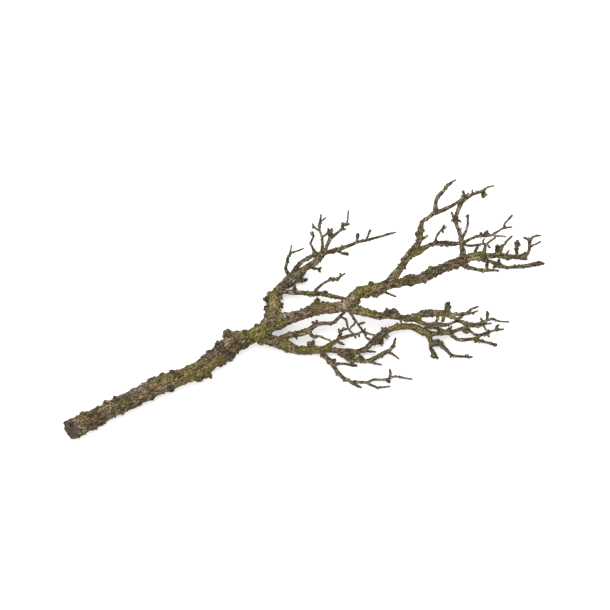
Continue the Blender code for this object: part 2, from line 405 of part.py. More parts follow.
LOWER_FOOT = Limb(
    "lower_foot", "lower_limb", 10.5,
    ((21, -47, 6.6, 3.4), (24, -52.5, 5.6, 3.1), (28.5, -58, 4.6, 2.9), (34, -64, 3.7, 2.7),
     (39, -71, 2.8, 2.5), (44.5, -78.5, 2.2, 2.3), (51, -83.7, 1.8, 2.2), (58.5, -87.3, 1.5, 1.8),
     (64, -91.5, 1.2, 1.4), (71, -94.2, 1, 1)),
    twigs=(
        Twig(((38, -67.5), (43, -65.4), (52, -66), (58, -67.3), (61.5, -69), (65, -67.8)),
             (1.7, 1.1), (3.2, 1.5)),
        Twig(((43.5, -77), (40.7, -79.5)), (1.6, 1), (2.4, 2.2)),
        Twig(((51, -84), (49, -86.3)), (1.5, 1), (2, 1.8)),
        Twig(((57.5, -87), (64, -87.6), (71, -88), (77.5, -87.7), (83, -85.2), (91, -84.3), (99, -84.9),
              (104, -83.5), (107, -81.4), (117, -81), (122, -82.8), (131.6, -84)), (1.7, 1), (2, 4)),
        Twig(((104.7, -83), (105.7, -78), (105.2, -73)), (1.6, 1.2), (3.4, 9)),
        Twig(((101.5, -85), (105, -88.4)), (1.8, 1.1), (3.2, 2.4)),
        Twig(((76, -88.3), (82, -91), (90.5, -94.3), (97, -93.2), (105.3, -92.8)), (1.5, 1), (2.4, 1.8)),
    ),
    knobs=((38, -61.7, 4, 2.4), (36, -63.5, 4, 2.6), (103, -84.5, 3.2, 2), (55.5, -84.5, 2.4, 1.9)))

LOWER_RUNNER = Limb(
    "lower_runner", "lower_limb", 19.0,
    ((20, -49, 6.8, 4), (30, -48.9, 7, 3.4), (38, -49.4, 7.2, 3.1), (46, -50.2, 7.6, 3.3),
     (55, -51.2, 8, 3.9), (63, -51.5, 8.4, 3.4), (71, -49.8, 9, 3), (77, -46.8, 9.7, 3.1),
     (82, -41.5, 10.8, 3.2), (87.5, -36, 12.3, 3.5), (93, -31.7, 13.8, 3.8), (99, -27.6, 15.2, 3.3),
     (106, -24.2, 16.6, 3.2), (114, -21.6, 17.8, 3.7), (122, -20.9, 18.5, 3.7),
     (132, -21.2, 18.8, 3.8)),
    twigs=(
        Twig(((42.5, -52), (46.5, -54.5), (51.5, -57.8), (57, -62.3), (61, -66.5)), (2.8, 1.9), (6.6, 7.4)),
        Twig(((73, -50), (80, -51), (88, -51.4)), (1.7, 0.9), (9, 8)),
        Twig(((98.5, -27.5), (95, -22.3)), (2, 1.2), (15.5, 19)),
        Twig(((101, -26.3), (99.7, -21.8)), (1.5, 0.8), (16, 19)),
        Twig(((97.5, -29), (104, -33.3)), (1.7, 0.9), (14.5, 12)),
        Twig(((96, -31), (102, -35.8)), (2, 1.1), (13.5, 11)),
        Twig(((91.5, -34), (94, -38.5), (95, -43.7)), (3.6, 1.4), (12, 9)),
        Twig(((113, -20.5), (114.2, -16.8)), (1.8, 1), (18.5, 20)),
    ),
    knobs=((57, -55.3, 6.8, 4.8), (53, -56.8, 6, 3), (61, -61, 5, 3), (89, -39.5, 11, 3.6),
           (93.5, -39.5, 10.5, 3.2), (58.5, -48.5, 9, 2.4), (101.8, -25, 15.6, 2.6),
           (86, -42.5, 10, 2), (122, -23.5, 17.5, 2.3), (74, -51, 8.6, 2)),
    material=BARK)

LOW_SIDE_SHOOT = Limb(
    "low_side_shoot", "lower_runner", 11.0,
    ((56, -54.5, 6.5, 3.2), (62, -59.5, 5.6, 2.9), (69, -62, 5, 2.6), (78, -62.5, 4.9, 2.4),
     (85, -60, 5.2, 2.3), (91, -56.8, 5.8, 2.5), (97, -53.2, 6.4, 2.2), (102, -50.8, 7, 2.6),
     (107, -48, 8, 1.6), (109, -43.5, 9.5, 1.7), (110.8, -39, 11, 1.2), (111.7, -35, 12.5, 1.1)),
    twigs=(
        Twig(((103, -51.5), (109, -54.5), (115.8, -59.7)), (1.9, 1), (6.8, 4)),
        Twig(((80, -62.8), (86.5, -65), (95, -67)), (1.7, 0.9), (4.8, 3)),
        Twig(((68, -61.5), (68, -57.3), (71.5, -57), (74.5, -61)), (1.5, 1.3), (5.2, 5.2)),
        Twig(((93.5, -55), (96.3, -57.7)), (1.9, 1.2), (6, 5)),
    ),
    knobs=((85.5, -58.3, 6, 1.8),))

LOWER_RIGHT_FAN = Limb(
    "lower_right_fan", "lower_runner", 9.0,
    ((131, -21, 18.8, 3.9), (139, -23.7, 18.4, 4.3), (146, -28, 17.6, 4), (154, -29.6, 17.2, 3.4),
     (163, -29.3, 17.2, 2.5), (171, -28.3, 17.4, 3.3), (177, -28.2, 17.4, 3.3), (183, -26.4, 17.6, 2.2),
     (190, -24, 18.4, 2.2), (196.5, -23.5, 18.8, 2.8), (201, -26, 18, 1.7), (206, -30.5, 17, 1.4),
     (212, -31.7, 16, 1.9), (219, -29.7, 15, 2.3), (226, -26.7, 13.2, 1.6), (234, -25, 11.5, 1.4),
     (241.3, -24.2, 10, 1)),
    twigs=(
        Twig(((145, -24.5), (149, -21.7), (155, -22), (163, -23.8), (170, -27)), (2.4, 2), (18.6, 18)),
        Twig(((175, -26.5), (179.2, -21.3)), (1.8, 1), (18, 21)),
        Twig(((177, -30), (182, -33.7), (187, -37), (196, -37), (203, -36), (208, -36.3), (214, -38.5),
              (224, -41), (232.8, -43.2)), (2.3, 1.6), (16.5, 5)),
        Twig(((207.5, -36), (213, -32.5)), (2, 1.8), (11.5, 15)),
        Twig(((207.5, -37), (208, -40.3)), (1.9, 1.2), (10.5, 9)),
        Twig(((231.5, -25.5), (232.3, -21.5), (236, -18.9)), (1.7, 1), (12, 15)),
        Twig(((219.5, -29.5), (220.5, -32), (224.3, -33)), (1.6, 0.9), (14.5, 12)),
        Twig(((191, -24.5), (195, -28), (199.5, -27.7)), (2, 1.3), (17.6, 16.5)),
        Twig(((222, -28.5), (223.5, -25)), (1.3, 0.9), (14.4, 16)),
    ),
    knobs=((150, -32.6, 16, 2.2), (156.5, -32, 16, 1.9), (144, -30.5, 16, 2.2),
           (142.8, -29, 16.6, 2), (205.5, -35.4, 11.5, 2.4), (232, -42.7, 5.5, 1.9),
           (172, -26, 18.5, 2)),
    material=BARK)

HANGING_SHOOT = Limb(
    "hanging_shoot", "lower_right_fan", 11.0,
    ((149, -27, 17.2, 2.6), (152.6, -33, 15, 2.3), (154, -39, 12.3, 2.3), (153.6, -45, 9, 1.9),
     (155.3, -50, 6.4, 2), (157.6, -54, 4, 2.5), (158, -57.8, 2.2, 2.4)),
    twigs=(
        Twig(((155, -41), (160.5, -39.6), (165, -42), (168.8, -45.8), (174.5, -50.5), (178.6, -55.5),
              (187, -56.6), (196, -57.2), (199.5, -58.4), (203.8, -57)), (3.1, 1), (12.3, 2.2)),
        Twig(((158, -57), (162.8, -58.6)), (1.9, 1.1), (3, 2)),
        Twig(((177.6, -55), (178, -58.5)), (1.4, 0.8), (7, 6)),
        Twig(((196, -57), (195.8, -54.5)), (1.3, 0.9), (4, 5)),
        Twig(((198.8, -58), (198.8, -54.5)), (1.2, 0.8), (3.2, 4.4)),
    ),
    knobs=((157.5, -42.2, 11, 3.2), (162.3, -39, 11.5, 3.4), (166.3, -42.6, 10.3, 3.4),
           (161.5, -43, 10, 2.2), (156.5, -56.5, 3.4, 2.7)))

LIMBS = (TRUNK, LEFT_LIMB, LEFT_FAN, LEFT_SPRAY, LEFT_RUNNER, CROSS_SHOOT, CENTRAL_LIMB, UPPER_LIMB,
         UPPER_LEFT_LIMB, CROWN_SHOOT, BRIDGE_SHOOT, UPPER_RIGHT_LIMB, UPRIGHT_SHOOT, TIP_LIMB,
         TIP_LOWER_SHOOT, LOW_RIGHT_SHOOT, RIGHT_LIMB, RIGHT_TOP_SHOOT, RIGHT_MID_SHOOT, LOWER_LIMB,
         INNER_SHOOT, LOWER_TUFT, LOWER_FOOT, LOWER_RUNNER, LOW_SIDE_SHOOT, LOWER_RIGHT_FAN,
         HANGING_SHOOT)


def clear_scene():
    for old in list(bpy.data.objects):
        bpy.data.objects.remove(old)


def make_material(name, colour, roughness):
    material = bpy.data.materials.get(name) or bpy.data.materials.new(name)
    material.use_nodes = True
    shader = material.node_tree.nodes["Principled BSDF"]
    shader.inputs["Base Color"].default_value = colour
    shader.inputs["Roughness"].default_value = roughness
    shader.inputs["Metallic"].default_value = 0.0
    return material


def smooth_line(points):
    """Run a smooth curve through the points; returns closely spaced (position, radius) samples."""
    knots = [Vector(point) for point in points]
    ends = [2 * knots[0] - knots[1]] + knots + [2 * knots[-1] - knots[-2]]
    samples = []
    for before, start, stop, after in zip(ends, ends[1:], ends[2:], ends[3:]):
        for step in range(LINE_STEPS):
            t = step / LINE_STEPS
            samples.append(0.5 * (2 * start + (stop - before) * t
                                  + (2 * before - 5 * start + 4 * stop - after) * t * t
                                  + (3 * start - before - 3 * stop + after) * t ** 3))
    samples.append(knots[-1])
    return samples


def line_lengths(samples):
    lengths = [0.0]
    for here, there in zip(samples, samples[1:]):
        lengths.append(lengths[-1] + (there.xyz - here.xyz).length)
    return lengths


def at_length(samples, lengths, distance):
    """Return the centre and radius of the limb at a distance along its line."""
    distance = min(max(distance, 0.0), lengths[-1])
    index = 1
    while index < len(lengths) - 1 and lengths[index] < distance:
        index += 1
    span = lengths[index] - lengths[index - 1]
    return samples[index - 1].lerp(samples[index], (distance - lengths[index - 1]) / span)


def side_count(radius):
    if radius > 7.0:
        return 10
    if radius > 3.4:
        return 7
    return 6 if radius > 2.2 else 5


def ring_distances(samples, lengths, start, stop):
    """Space the rings by the local radius, from start to stop."""
    distances = [start]
    while True:
        radius = at_length(samples, lengths, distances[-1])[3]
        step = max(SHORTEST_STEP, RING_STEP * radius)
        if distances[-1] + 1.4 * step > stop:
            break
        distances.append(distances[-1] + step)
    distances.append(stop)
    return distances


def ring_points(centre, radius, normal, side, sides):
    """Place one ring of points, swollen and pinched as bark is, and never below the surface.

    The ring is a little wider than the radius, so that its flat sides enclose the same area.
    """
    radius *= math.sqrt(math.tau / (sides * math.sin(math.tau / sides)))
    ring = []
    for index in range(sides):
        angle = math.tau * (index + 0.5) / sides
        outward = normal * math.cos(angle) + side * math.sin(angle)
        relief = 1.0 + BARK_RELIEF * noise.noise((centre + outward * radius) * BARK_GRAIN)
        point = centre + outward * radius * relief
        point.z = max(point.z, 0.0)
        ring.append(point)
    return ring


def sweep(mesh, points, start=0.0, stop=None, slant=0.0):
    """Add one closed tube along the line to the mesh, from start to stop; a free end tapers."""
    samples = smooth_line(points)
    lengths = line_lengths(samples)
    free_tip = stop is None
    tip = lengths[-1] if free_tip else stop
    sides = side_count(max(point[3] for point in points))
    normal = None
    rings = []
    for distance in ring_distances(samples, lengths, start, tip):
        here = at_length(samples, lengths, distance)
        ahead = at_length(samples, lengths, distance + 0.6)
        behind = at_length(samples, lengths, distance - 0.6)
        tangent = (ahead.xyz - behind.xyz).normalized()
        if normal is None:
            normal = Vector((0, 0, 1))
        normal = (normal - tangent * normal.dot(tangent)).normalized()
        side = tangent.cross(normal)
        rings.append(ring_points(here.xyz, here[3], normal, side, sides))
    if slant:
        centre = sum(rings[0], Vector()) / sides
        first_tangent = (at_length(samples, lengths, 1.2).xyz - samples[0].xyz).normalized()
        rings[0] = [point + first_tangent * slant * (point.z - centre.z) for point in rings[0]]
        for point in rings[0]:
            point.z = max(point.z, 0.0)
    if free_tip:
        centre = sum(rings[-1], Vector()) / sides
        end = centre + tangent * here[3] * TIP_REACH
        rings.append([end + (point - centre) * TIP_TAPER for point in rings[-1]])
        for point in rings[-1]:
            point.z = max(point.z, 0.0)
    loops = [[mesh.verts.new(point * MM) for point in ring] for ring in rings]
    mesh.faces.new(list(reversed(loops[0])))
    mesh.faces.new(loops[-1])
    for below, above in zip(loops, loops[1:]):
        for index in range(sides):
            after = (index + 1) % sides
            mesh.faces.new((below[index], below[after], above[after], above[index]))


def twig_points(twig):
    """Give a side shoot's line its heights and radii, spread evenly along its length."""
    travelled = [0.0]
    for here, there in zip(twig.line, twig.line[1:]):
        travelled.append(travelled[-1] + math.dist(here, there))
    points = []
    for (x, y), distance in zip(twig.line, travelled):
        share = distance / travelled[-1]
        height = twig.height[0] + (twig.height[1] - twig.height[0]) * share
        radius = twig.radius[0] + (twig.radius[1] - twig.radius[0]) * share
        points.append((x, y, height, radius))
    return tuple(points)


def add_knob(mesh, knob):
    """Add one rounded lichen lump, a little squashed and uneven."""
    x, y, z, radius = knob
    centre = Vector((x, y, z))
    turn = Matrix.Rotation(x * 0.7 + y * 0.3, 4, "Z")
    shape = bmesh.ops.create_icosphere(mesh, subdivisions=2 if radius > LARGE_LUMP else 1, radius=radius,
                                       matrix=Matrix.Translation(centre) @ turn)
    for vertex in shape["verts"]:
        outward = vertex.co - centre
        vertex.co = centre + outward * (1.0 + LUMP_RELIEF * noise.noise(vertex.co * LUMP_GRAIN))
        vertex.co.z = max(vertex.co.z, 0.0)
        vertex.co *= MM


def object_from(name, fill):
    """Make an object from a function that fills a bmesh."""
    mesh = bmesh.new()
    fill(mesh)
    bmesh.ops.recalc_face_normals(mesh, faces=mesh.faces)
    data = bpy.data.meshes.new(name)
    mesh.to_mesh(data)
    mesh.free()
    made = bpy.data.objects.new(name, data)
    return made


def settle(body):
    """Replace the modifiers by their result, and drop any stray edge that belongs to no face."""
    graph = bpy.context.evaluated_depsgraph_get()
    body.data = bpy.data.meshes.new_from_object(body.evaluated_get(graph))
    body.data.name = body.name
    body.modifiers.clear()
    mesh = bmesh.new()
    mesh.from_mesh(body.data)
    bmesh.ops.delete(mesh, geom=[edge for edge in mesh.edges if not edge.link_faces], context="EDGES")
    bmesh.ops.delete(mesh, geom=[vertex for vertex in mesh.verts if not vertex.link_faces], context="VERTS")
    mesh.to_mesh(body.data)
    mesh.free()


def build_limb(limb, children):
    """Build one limb: its own tube, with stubs, side shoots and lumps joined on by a union."""
    start = limb.cut + FORK_GAP if limb.parent else 0.0
    slant = 0.0 if limb.parent else BUTT_SLANT
    grows_on = [lambda mesh, child=child: sweep(mesh, child.points, 0.0, child.cut) for child in children]
    grows_on += [lambda mesh, twig=twig: sweep(mesh, twig_points(twig)) for twig in limb.twigs]
    grows_on += [lambda mesh, knob=knob: add_knob(mesh, knob) for knob in limb.knobs]

    body = object_from(limb.name, lambda mesh: sweep(mesh, limb.points, start, None, slant))
    bpy.context.scene.collection.objects.link(body)
    helpers = bpy.data.collections.new(limb.name + "_growth")
    bpy.context.scene.collection.children.link(helpers)
    for index, fill in enumerate(grows_on):
        helper = object_from(f"{limb.name}_growth_{index}", fill)
        helpers.objects.link(helper)
    if grows_on:
        union = body.modifiers.new("Union", "BOOLEAN")
        union.operation = "UNION"
        union.solver = "EXACT"
        union.operand_type = "COLLECTION"
        union.collection = helpers
    weld = body.modifiers.new("Weld", "WELD")
    weld.merge_threshold = MERGE
    thin = body.modifiers.new("Thin", "DECIMATE")
    thin.ratio = limb.faces_kept
    settle(body)
    body.data.materials.append(make_material(*limb.material))
    body.data.shade_smooth()
    for helper in list(helpers.objects):
        bpy.data.objects.remove(helper)
    bpy.data.collections.remove(helpers)
    return body


def main():
    clear_scene()
    for limb in LIMBS:
        build_limb(limb, [child for child in LIMBS if child.parent == limb.name])


main()
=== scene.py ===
"""A lichen-covered twig, dressed around its packed limbs: bark, lichen, moss, light and camera.

Each limb of the frame is copied, closed over its fork, given lumps, and remeshed into one fine skin,
which is carved with bark relief and painted with the growth that covers it. Lichen lobes, moss tufts
and lichen grains are then scattered on the skins. Lengths here are in millimetres unless a name says
otherwise; x runs along the twig to its tips, y across it and z up from the surface that it lies on.
"""
import json
import logging
import math
from collections.abc import Callable
from dataclasses import dataclass
from enum import Enum

import bmesh
import bpy
import numpy as np
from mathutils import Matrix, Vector
from mathutils.bvhtree import BVHTree


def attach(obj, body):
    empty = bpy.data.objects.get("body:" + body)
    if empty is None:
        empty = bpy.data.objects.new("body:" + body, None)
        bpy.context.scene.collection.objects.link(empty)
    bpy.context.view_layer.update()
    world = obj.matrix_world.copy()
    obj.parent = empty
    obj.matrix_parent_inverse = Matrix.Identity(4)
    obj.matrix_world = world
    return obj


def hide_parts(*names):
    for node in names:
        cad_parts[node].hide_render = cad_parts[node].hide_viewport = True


MM = 0.001
BODY = "root"
LIGHT_LEVEL = 1.08        # brightness of a white surface that faces up
log = logging.getLogger("twig")

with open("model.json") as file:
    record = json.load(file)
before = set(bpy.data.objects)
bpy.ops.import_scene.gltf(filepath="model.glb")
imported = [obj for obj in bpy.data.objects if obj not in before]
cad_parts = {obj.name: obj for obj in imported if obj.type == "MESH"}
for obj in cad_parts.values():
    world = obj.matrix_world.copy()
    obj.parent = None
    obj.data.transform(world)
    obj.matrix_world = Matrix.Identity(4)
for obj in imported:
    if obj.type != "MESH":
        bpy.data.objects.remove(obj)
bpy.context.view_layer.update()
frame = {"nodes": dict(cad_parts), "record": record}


def maths(operation: str, turned: bool = False) -> "Callable[[Socket, Socket | float], Socket]":
    """Make an operator that adds one Math node.

    Args:
        operation: the node's operation.
        turned: whether the other value comes first.

    Returns:
        The operator, for a socket and another socket or a number.
    """
    def act(self: "Socket", other: "Socket | float") -> "Socket":
        """Add the node."""
        first, second = (other, self) if turned else (self, other)
        return self.maker.add("ShaderNodeMath", {"operation": operation}, {0: first, 1: second})

    return act


class Socket:
    """One output of a node, on which arithmetic can be written."""
    __add__ = __radd__ = maths("ADD")
    __mul__ = __rmul__ = maths("MULTIPLY")
    __sub__ = maths("SUBTRACT")
    __rsub__ = maths("SUBTRACT", turned=True)
    __truediv__ = maths("DIVIDE")
    __pow__ = maths("POWER")
    least = maths("MINIMUM")
    most = maths("MAXIMUM")
    arctan = maths("ARCTAN2")

    def __init__(self, maker: "Maker", link: bpy.types.NodeSocket) -> None:
        """Keep the node tree's maker and the output."""
        self.maker = maker
        self.link = link


class Maker:
    """Adds nodes to one tree."""

    def __init__(self, tree: bpy.types.NodeTree) -> None:
        """Keep the tree."""
        self.tree = tree

    @staticmethod
    def pick(sockets: bpy.types.bpy_prop_collection, key: "int | str") -> bpy.types.NodeSocket:
        """Find a socket by its index, or by its name among those in use.

        Args:
            sockets: the node's inputs or outputs.
            key: index or name.

        Returns:
            The socket.
        """
        if isinstance(key, int):
            return sockets[key]
        return next(socket for socket in sockets if socket.name == key and socket.enabled)

    def add(self, kind: str, settings: "dict | None" = None, values: "dict | None" = None,
            output: "int | str" = 0) -> Socket:
        """Add one node.

        Args:
            kind: the node's type.
            settings: its own settings, and under stops a colour ramp's (place, colour) pairs.
            values: numbers, colours or sockets for its inputs, by index or name.
            output: index or name of the output to return.

        Returns:
            The chosen output.
        """
        node = self.tree.nodes.new(kind)
        for name, setting in (settings or {}).items():
            if name == "stops":
                ramp = node.color_ramp
                while len(ramp.elements) < len(setting):
                    ramp.elements.new(0.5)
                for element, (place, colour) in zip(ramp.elements, setting):
                    element.position = place
                    element.color = (*colour, 1.0)
            else:
                setattr(node, name, setting)
        for key, value in (values or {}).items():
            socket = self.pick(node.inputs, key)
            if isinstance(value, Socket):
                self.tree.links.new(value.link, socket)
            else:
                socket.default_value = value
        return Socket(self, self.pick(node.outputs, output))

    def noise(self, place: Socket, cell: float, detail: float = 2.0, rough: float = 0.5,
              output: "int | str" = 0) -> Socket:
        """Add a noise of a cell size in millimetres, from 0 to 1."""
        values = {"Vector": place, "Scale": 1.0 / (cell * MM), "Detail": detail, "Roughness": rough}
        return self.add("ShaderNodeTexNoise", None, values, output)

    def sway(self, place: Socket, cell: float, detail: float) -> Socket:
        """Add a noise that mostly stays between -1 and 1."""
        return (self.noise(place, cell, detail, 0.6) - 0.5) * 4.5

    def bent(self, place: Socket, cell: float, reach: float) -> Socket:
        """Shift places by a noise, so that what is drawn on them isn't straight.

        Args:
            place: the places.
            cell: the noise's cell size in millimetres.
            reach: the largest shift in millimetres.

        Returns:
            The shifted places.
        """
        evenly = self.vector("SUBTRACT", self.noise(place, cell, output="Color"), (0.5, 0.5, 0.5))
        return self.vector("ADD", place, self.scaled(evenly, reach * MM))

    def cells(self, place: Socket, cell: float, feature: str = "F1", output: str = "Distance") -> Socket:
        """Add a cell pattern of a cell size in millimetres."""
        return self.add("ShaderNodeTexVoronoi", {"feature": feature},
                        {"Vector": place, "Scale": 1.0 / (cell * MM)}, output)

    def ease(self, value: Socket, low: float, high: float) -> Socket:
        """Turn a value smoothly from 0 at low to 1 at high."""
        return self.add("ShaderNodeMapRange", {"interpolation_type": "SMOOTHSTEP"},
                        {"Value": value, "From Min": low, "From Max": high})

    def mix(self, factor: Socket, first: "Socket | tuple", second: "Socket | tuple") -> Socket:
        """Mix two colours.

        Args:
            factor: the second colour's share.
            first: the colour where the factor is 0.
            second: the colour where it is 1.

        Returns:
            The mixed colour.
        """
        values = {"Factor": factor}
        for key, colour in (("A", first), ("B", second)):
            values[key] = colour if isinstance(colour, Socket) else (*colour, 1.0)
        return self.add("ShaderNodeMix", {"data_type": "RGBA"}, values, "Result")

    def vector(self, operation: str, first: "Socket | tuple", second: "Socket | tuple",
               output: int = 0) -> Socket:
        """Add one Vector Math node."""
        return self.add("ShaderNodeVectorMath", {"operation": operation}, {0: first, 1: second}, output)

    def scaled(self, vector: Socket, factor: "Socket | float") -> Socket:
        """Scale a vector."""
        return self.add("ShaderNodeVectorMath", {"operation": "SCALE"}, {0: vector, "Scale": factor})

    def joined(self, x: "Socket | float", y: "Socket | float", z: "Socket | float" = 0.0) -> Socket:
        """Join three numbers in a vector."""
        return self.add("ShaderNodeCombineXYZ", None, {"X": x, "Y": y, "Z": z})

    def ramp(self, steps: tuple, shades: tuple, value: Socket) -> Socket:
        """Read a value's colour from a ramp with a shade at each step."""
        return self.add("ShaderNodeValToRGB", {"stops": tuple(zip(steps, shades))}, {0: value})


class Finish:
    """A procedural material in the making."""

    def __init__(self, name: str) -> None:
        """Make the material and its surface shader.

        Args:
            name: the material's name.
        """
        self.material = bpy.data.materials.new(name)
        self.material.use_nodes = True
        self.make = Maker(self.material.node_tree)
        self.surface = self.material.node_tree.nodes["Principled BSDF"]
        self.place = self.make.add("ShaderNodeTexCoord", None, None, "Object")

    def painted(self, name: str, output: str = "Fac") -> Socket:
        """Read a value painted on the mesh."""
        return self.make.add("ShaderNodeAttribute", {"attribute_name": name}, None, output)

    def close(self, colour: Socket, roughness: Socket, height: Socket, depth: float) -> bpy.types.Material:
        """Link colour, roughness and bump to the shader.

        Args:
            colour: base colour.
            roughness: roughness.
            height: bump height, from 0 to 1.
            depth: bump depth in millimetres.

        Returns:
            The material.
        """
        bump = self.make.add("ShaderNodeBump", None,
                             {"Strength": 1.0, "Distance": depth * MM, "Height": height})
        links = self.material.node_tree.links
        links.new(colour.link, self.surface.inputs["Base Color"])
        links.new(roughness.link, self.surface.inputs["Roughness"])
        links.new(bump.link, self.surface.inputs["Normal"])
        self.surface.inputs["Specular IOR Level"].default_value = 0.25
        return self.material


def ink(red: float, green: float, blue: float) -> tuple:
    """Turn a colour as it looks under this light into a base colour.

    Args:
        red: red, from 0 to 255.
        green: green.
        blue: blue.

    Returns:
        The linear colour.
    """
    return tuple(((part / 255 + 0.055) / 1.055) ** 2.4 / LIGHT_LEVEL for part in (red, green, blue))


def inks(*colours: "tuple[float, ...]") -> tuple:
    """Turn several colours into base colours."""
    return tuple(ink(*colour) for colour in colours)


@dataclass(frozen=True)
class BarkFinish:
    """Old bark under algae, lichen crust and thin moss, each with painted shade in its pits and painted light
    on its crests.
    """
    name: str = "lichen_bark"
    steps: tuple = (0.06, 0.30, 0.52, 0.74, 0.96)
    brown: tuple = inks((34, 26, 18), (66, 53, 38), (98, 82, 62), (142, 125, 98), (190, 174, 146))
    olive: tuple = inks((32, 28, 17), (63, 56, 37), (95, 87, 60), (137, 128, 96), (181, 173, 142))
    mossy: tuple = inks((42, 36, 13), (74, 66, 25), (106, 97, 45), (142, 132, 77), (178, 168, 120))
    bare: tuple = inks((50, 38, 28), (86, 70, 53), (122, 104, 80), (156, 137, 110), (188, 171, 146))
    grey: tuple = inks((44, 39, 33), (78, 71, 61), (112, 104, 90), (152, 144, 127), (192, 185, 168))
    crust: tuple = inks((70, 66, 48), (104, 99, 76), (140, 135, 108), (172, 168, 142), (202, 199, 178))
    warm: tuple = (1.10, 0.95, 0.83)
    wood: tuple = ink(124, 106, 89)
    wood_ring: tuple = ink(54, 42, 33)
    # The darkest colour: painted shade in the bark's deepest hollows, and the cut wood's stains and cracks.
    stain_and_pit_shade: tuple = ink(30, 23, 16)
    scale: float = 1.7         # cell size of the bark's scales
    plate: float = 4.2         # cell size of the plates between its cracks
    ring_turns: float = 4.4    # how fast the rings of the cut wood follow each other
    checks_apart: float = 4.5  # cell size of the cut wood's drying cracks, once spread out in a fan

    def material(self) -> bpy.types.Material:
        """Build the material.

        Returns:
            The bark material, which reads the painted growth.
        """
        finish = Finish(self.name)
        make, place, painted = finish.make, finish.place, finish.painted
        broad = make.sway(place, 13.0, 2.0)
        patchy = make.sway(place, 5.0, 3.0)
        speck = make.sway(place, 1.8, 3.0)
        grain = make.sway(place, 0.6, 3.0)
        drawn = make.bent(painted("drawn", "Vector"), 4.0, 1.5)
        scale_tone = make.add("ShaderNodeSeparateColor", None,
                              {0: make.cells(drawn, self.scale, "F1", "Color")})
        seam = make.ease(make.cells(drawn, self.scale, "DISTANCE_TO_EDGE"), 0.13, 0.0)
        crack = make.ease(make.cells(drawn, self.plate, "DISTANCE_TO_EDGE") + patchy * 0.04, 0.055, 0.0)
        rise = painted("rise") - 0.5
        # Patches painted lighter and darker: partly painted light and shade, partly paler and darker bark.
        damp = make.ease(painted("damp") + patchy * 0.20, 0.30, 0.95)
        lit = make.ease(painted("lit") + patchy * 0.20, 0.30, 0.95)
        knobby = make.ease(painted("clump") + patchy * 0.25 + speck * 0.15, 0.45, 1.0)
        # Painted shade and painted light: the height darkens the tone in the bark's pits and lightens it on
        # its crests.
        base = patchy * 0.09 + rise * 0.50 + broad * 0.05 + 0.545 + (lit - damp) * 0.17 - knobby * 0.15
        tone = base + speck * 0.34 + (scale_tone - 0.5) * 0.42 + grain * 0.14 - seam * 0.10 - crack * 0.16
        soft = base + speck * 0.36 + (scale_tone - 0.5) * 0.20 + grain * 0.16

        def family(shades: tuple, shade: Socket = tone) -> Socket:
            """Colour by one family along the tone, which is darker in pits as painted shade and paler on
            crests as painted light.
            """
            return make.ramp(self.steps, shades, shade)

        thin = make.ease(painted("girth"), 3.4, 1.2)
        colour = make.mix(make.ease(broad * 0.5 + patchy * 0.35 + thin * 0.75, -0.25, 0.70) * 0.85,
                          family(self.brown), family(self.olive))
        # Greyer where painted so; along the trunk's upper edge this grey is painted light.
        greyish = make.ease(painted("grey") + thin * 0.35 + patchy * 0.25 + broad * 0.15, 0.30, 0.85)
        colour = make.mix(greyish * 0.8, colour, family(self.grey))
        naked = make.ease(painted("bare") + patchy * 0.30 + speck * 0.10, 0.35, 0.85)
        colour = make.mix(naked * 0.8, colour, family(self.bare, soft * 0.6 + tone * 0.4))
        warmth = make.ease(painted("rust") + patchy * 0.25, 0.25, 0.8)
        colour = make.mix(warmth, colour, make.vector("MULTIPLY", colour, self.warm))
        green = make.ease(painted("moss") * 1.15 + broad * 0.20 + patchy * 0.32 + speck * 0.26 + rise * 0.3,
                          0.22, 0.92)
        colour = make.mix(green * 0.92, colour, family(self.mossy, soft))
        flecks = make.sway(place, 3.1, 3.0)
        crusty = make.ease(painted("crust") * 0.75 + flecks * 0.75 + rise * 0.5, 0.72, 0.9)
        colour = make.mix(crusty * 0.7, colour, family(self.crust))
        # Painted shade: the deepest hollows darken to the darkest colour.
        colour = make.mix(make.ease(rise, -0.22, -0.42) * 0.6, colour, self.stain_and_pit_shade)
        cut, out = make.ease(painted("cut"), 0.35, 0.65), painted("ring")
        turn = painted("face_up").arctan(painted("face_side"))
        ring = make.add("ShaderNodeMath", {"operation": "SINE"}, {0: out * self.ring_turns + patchy * 1.2})
        fan = make.joined(turn * (8 * MM) + patchy * (0.7 * MM), out * (0.25 * MM) + speck * (0.15 * MM))
        check = make.ease(make.cells(fan, self.checks_apart, "DISTANCE_TO_EDGE"), 0.06, 0.0)
        check = check * make.ease(out, 0.3, 2.5)
        wood = make.mix(make.ease(ring * 0.7 + speck * 1.9 + grain * 1.2, -1.5, 1.7),
                        self.wood_ring, self.wood)
        stained = make.ease(patchy + speck * 0.8, 0.35, 1.0) * 0.8
        colour = make.mix(cut, colour, make.mix(stained.most(check * 0.9), wood, self.stain_and_pit_shade))
        on_bark = 1.0 - cut
        height = (grain * 0.16 + speck * 0.12 - seam * on_bark * 0.22 - crack * on_bark * 0.35
                  - make.cells(drawn, self.scale) * on_bark * 0.15 - check * cut * 0.4
                  + ring * cut * 0.06 + 0.6)
        return finish.close(colour, 0.92 - speck * 0.05, height, 0.75)


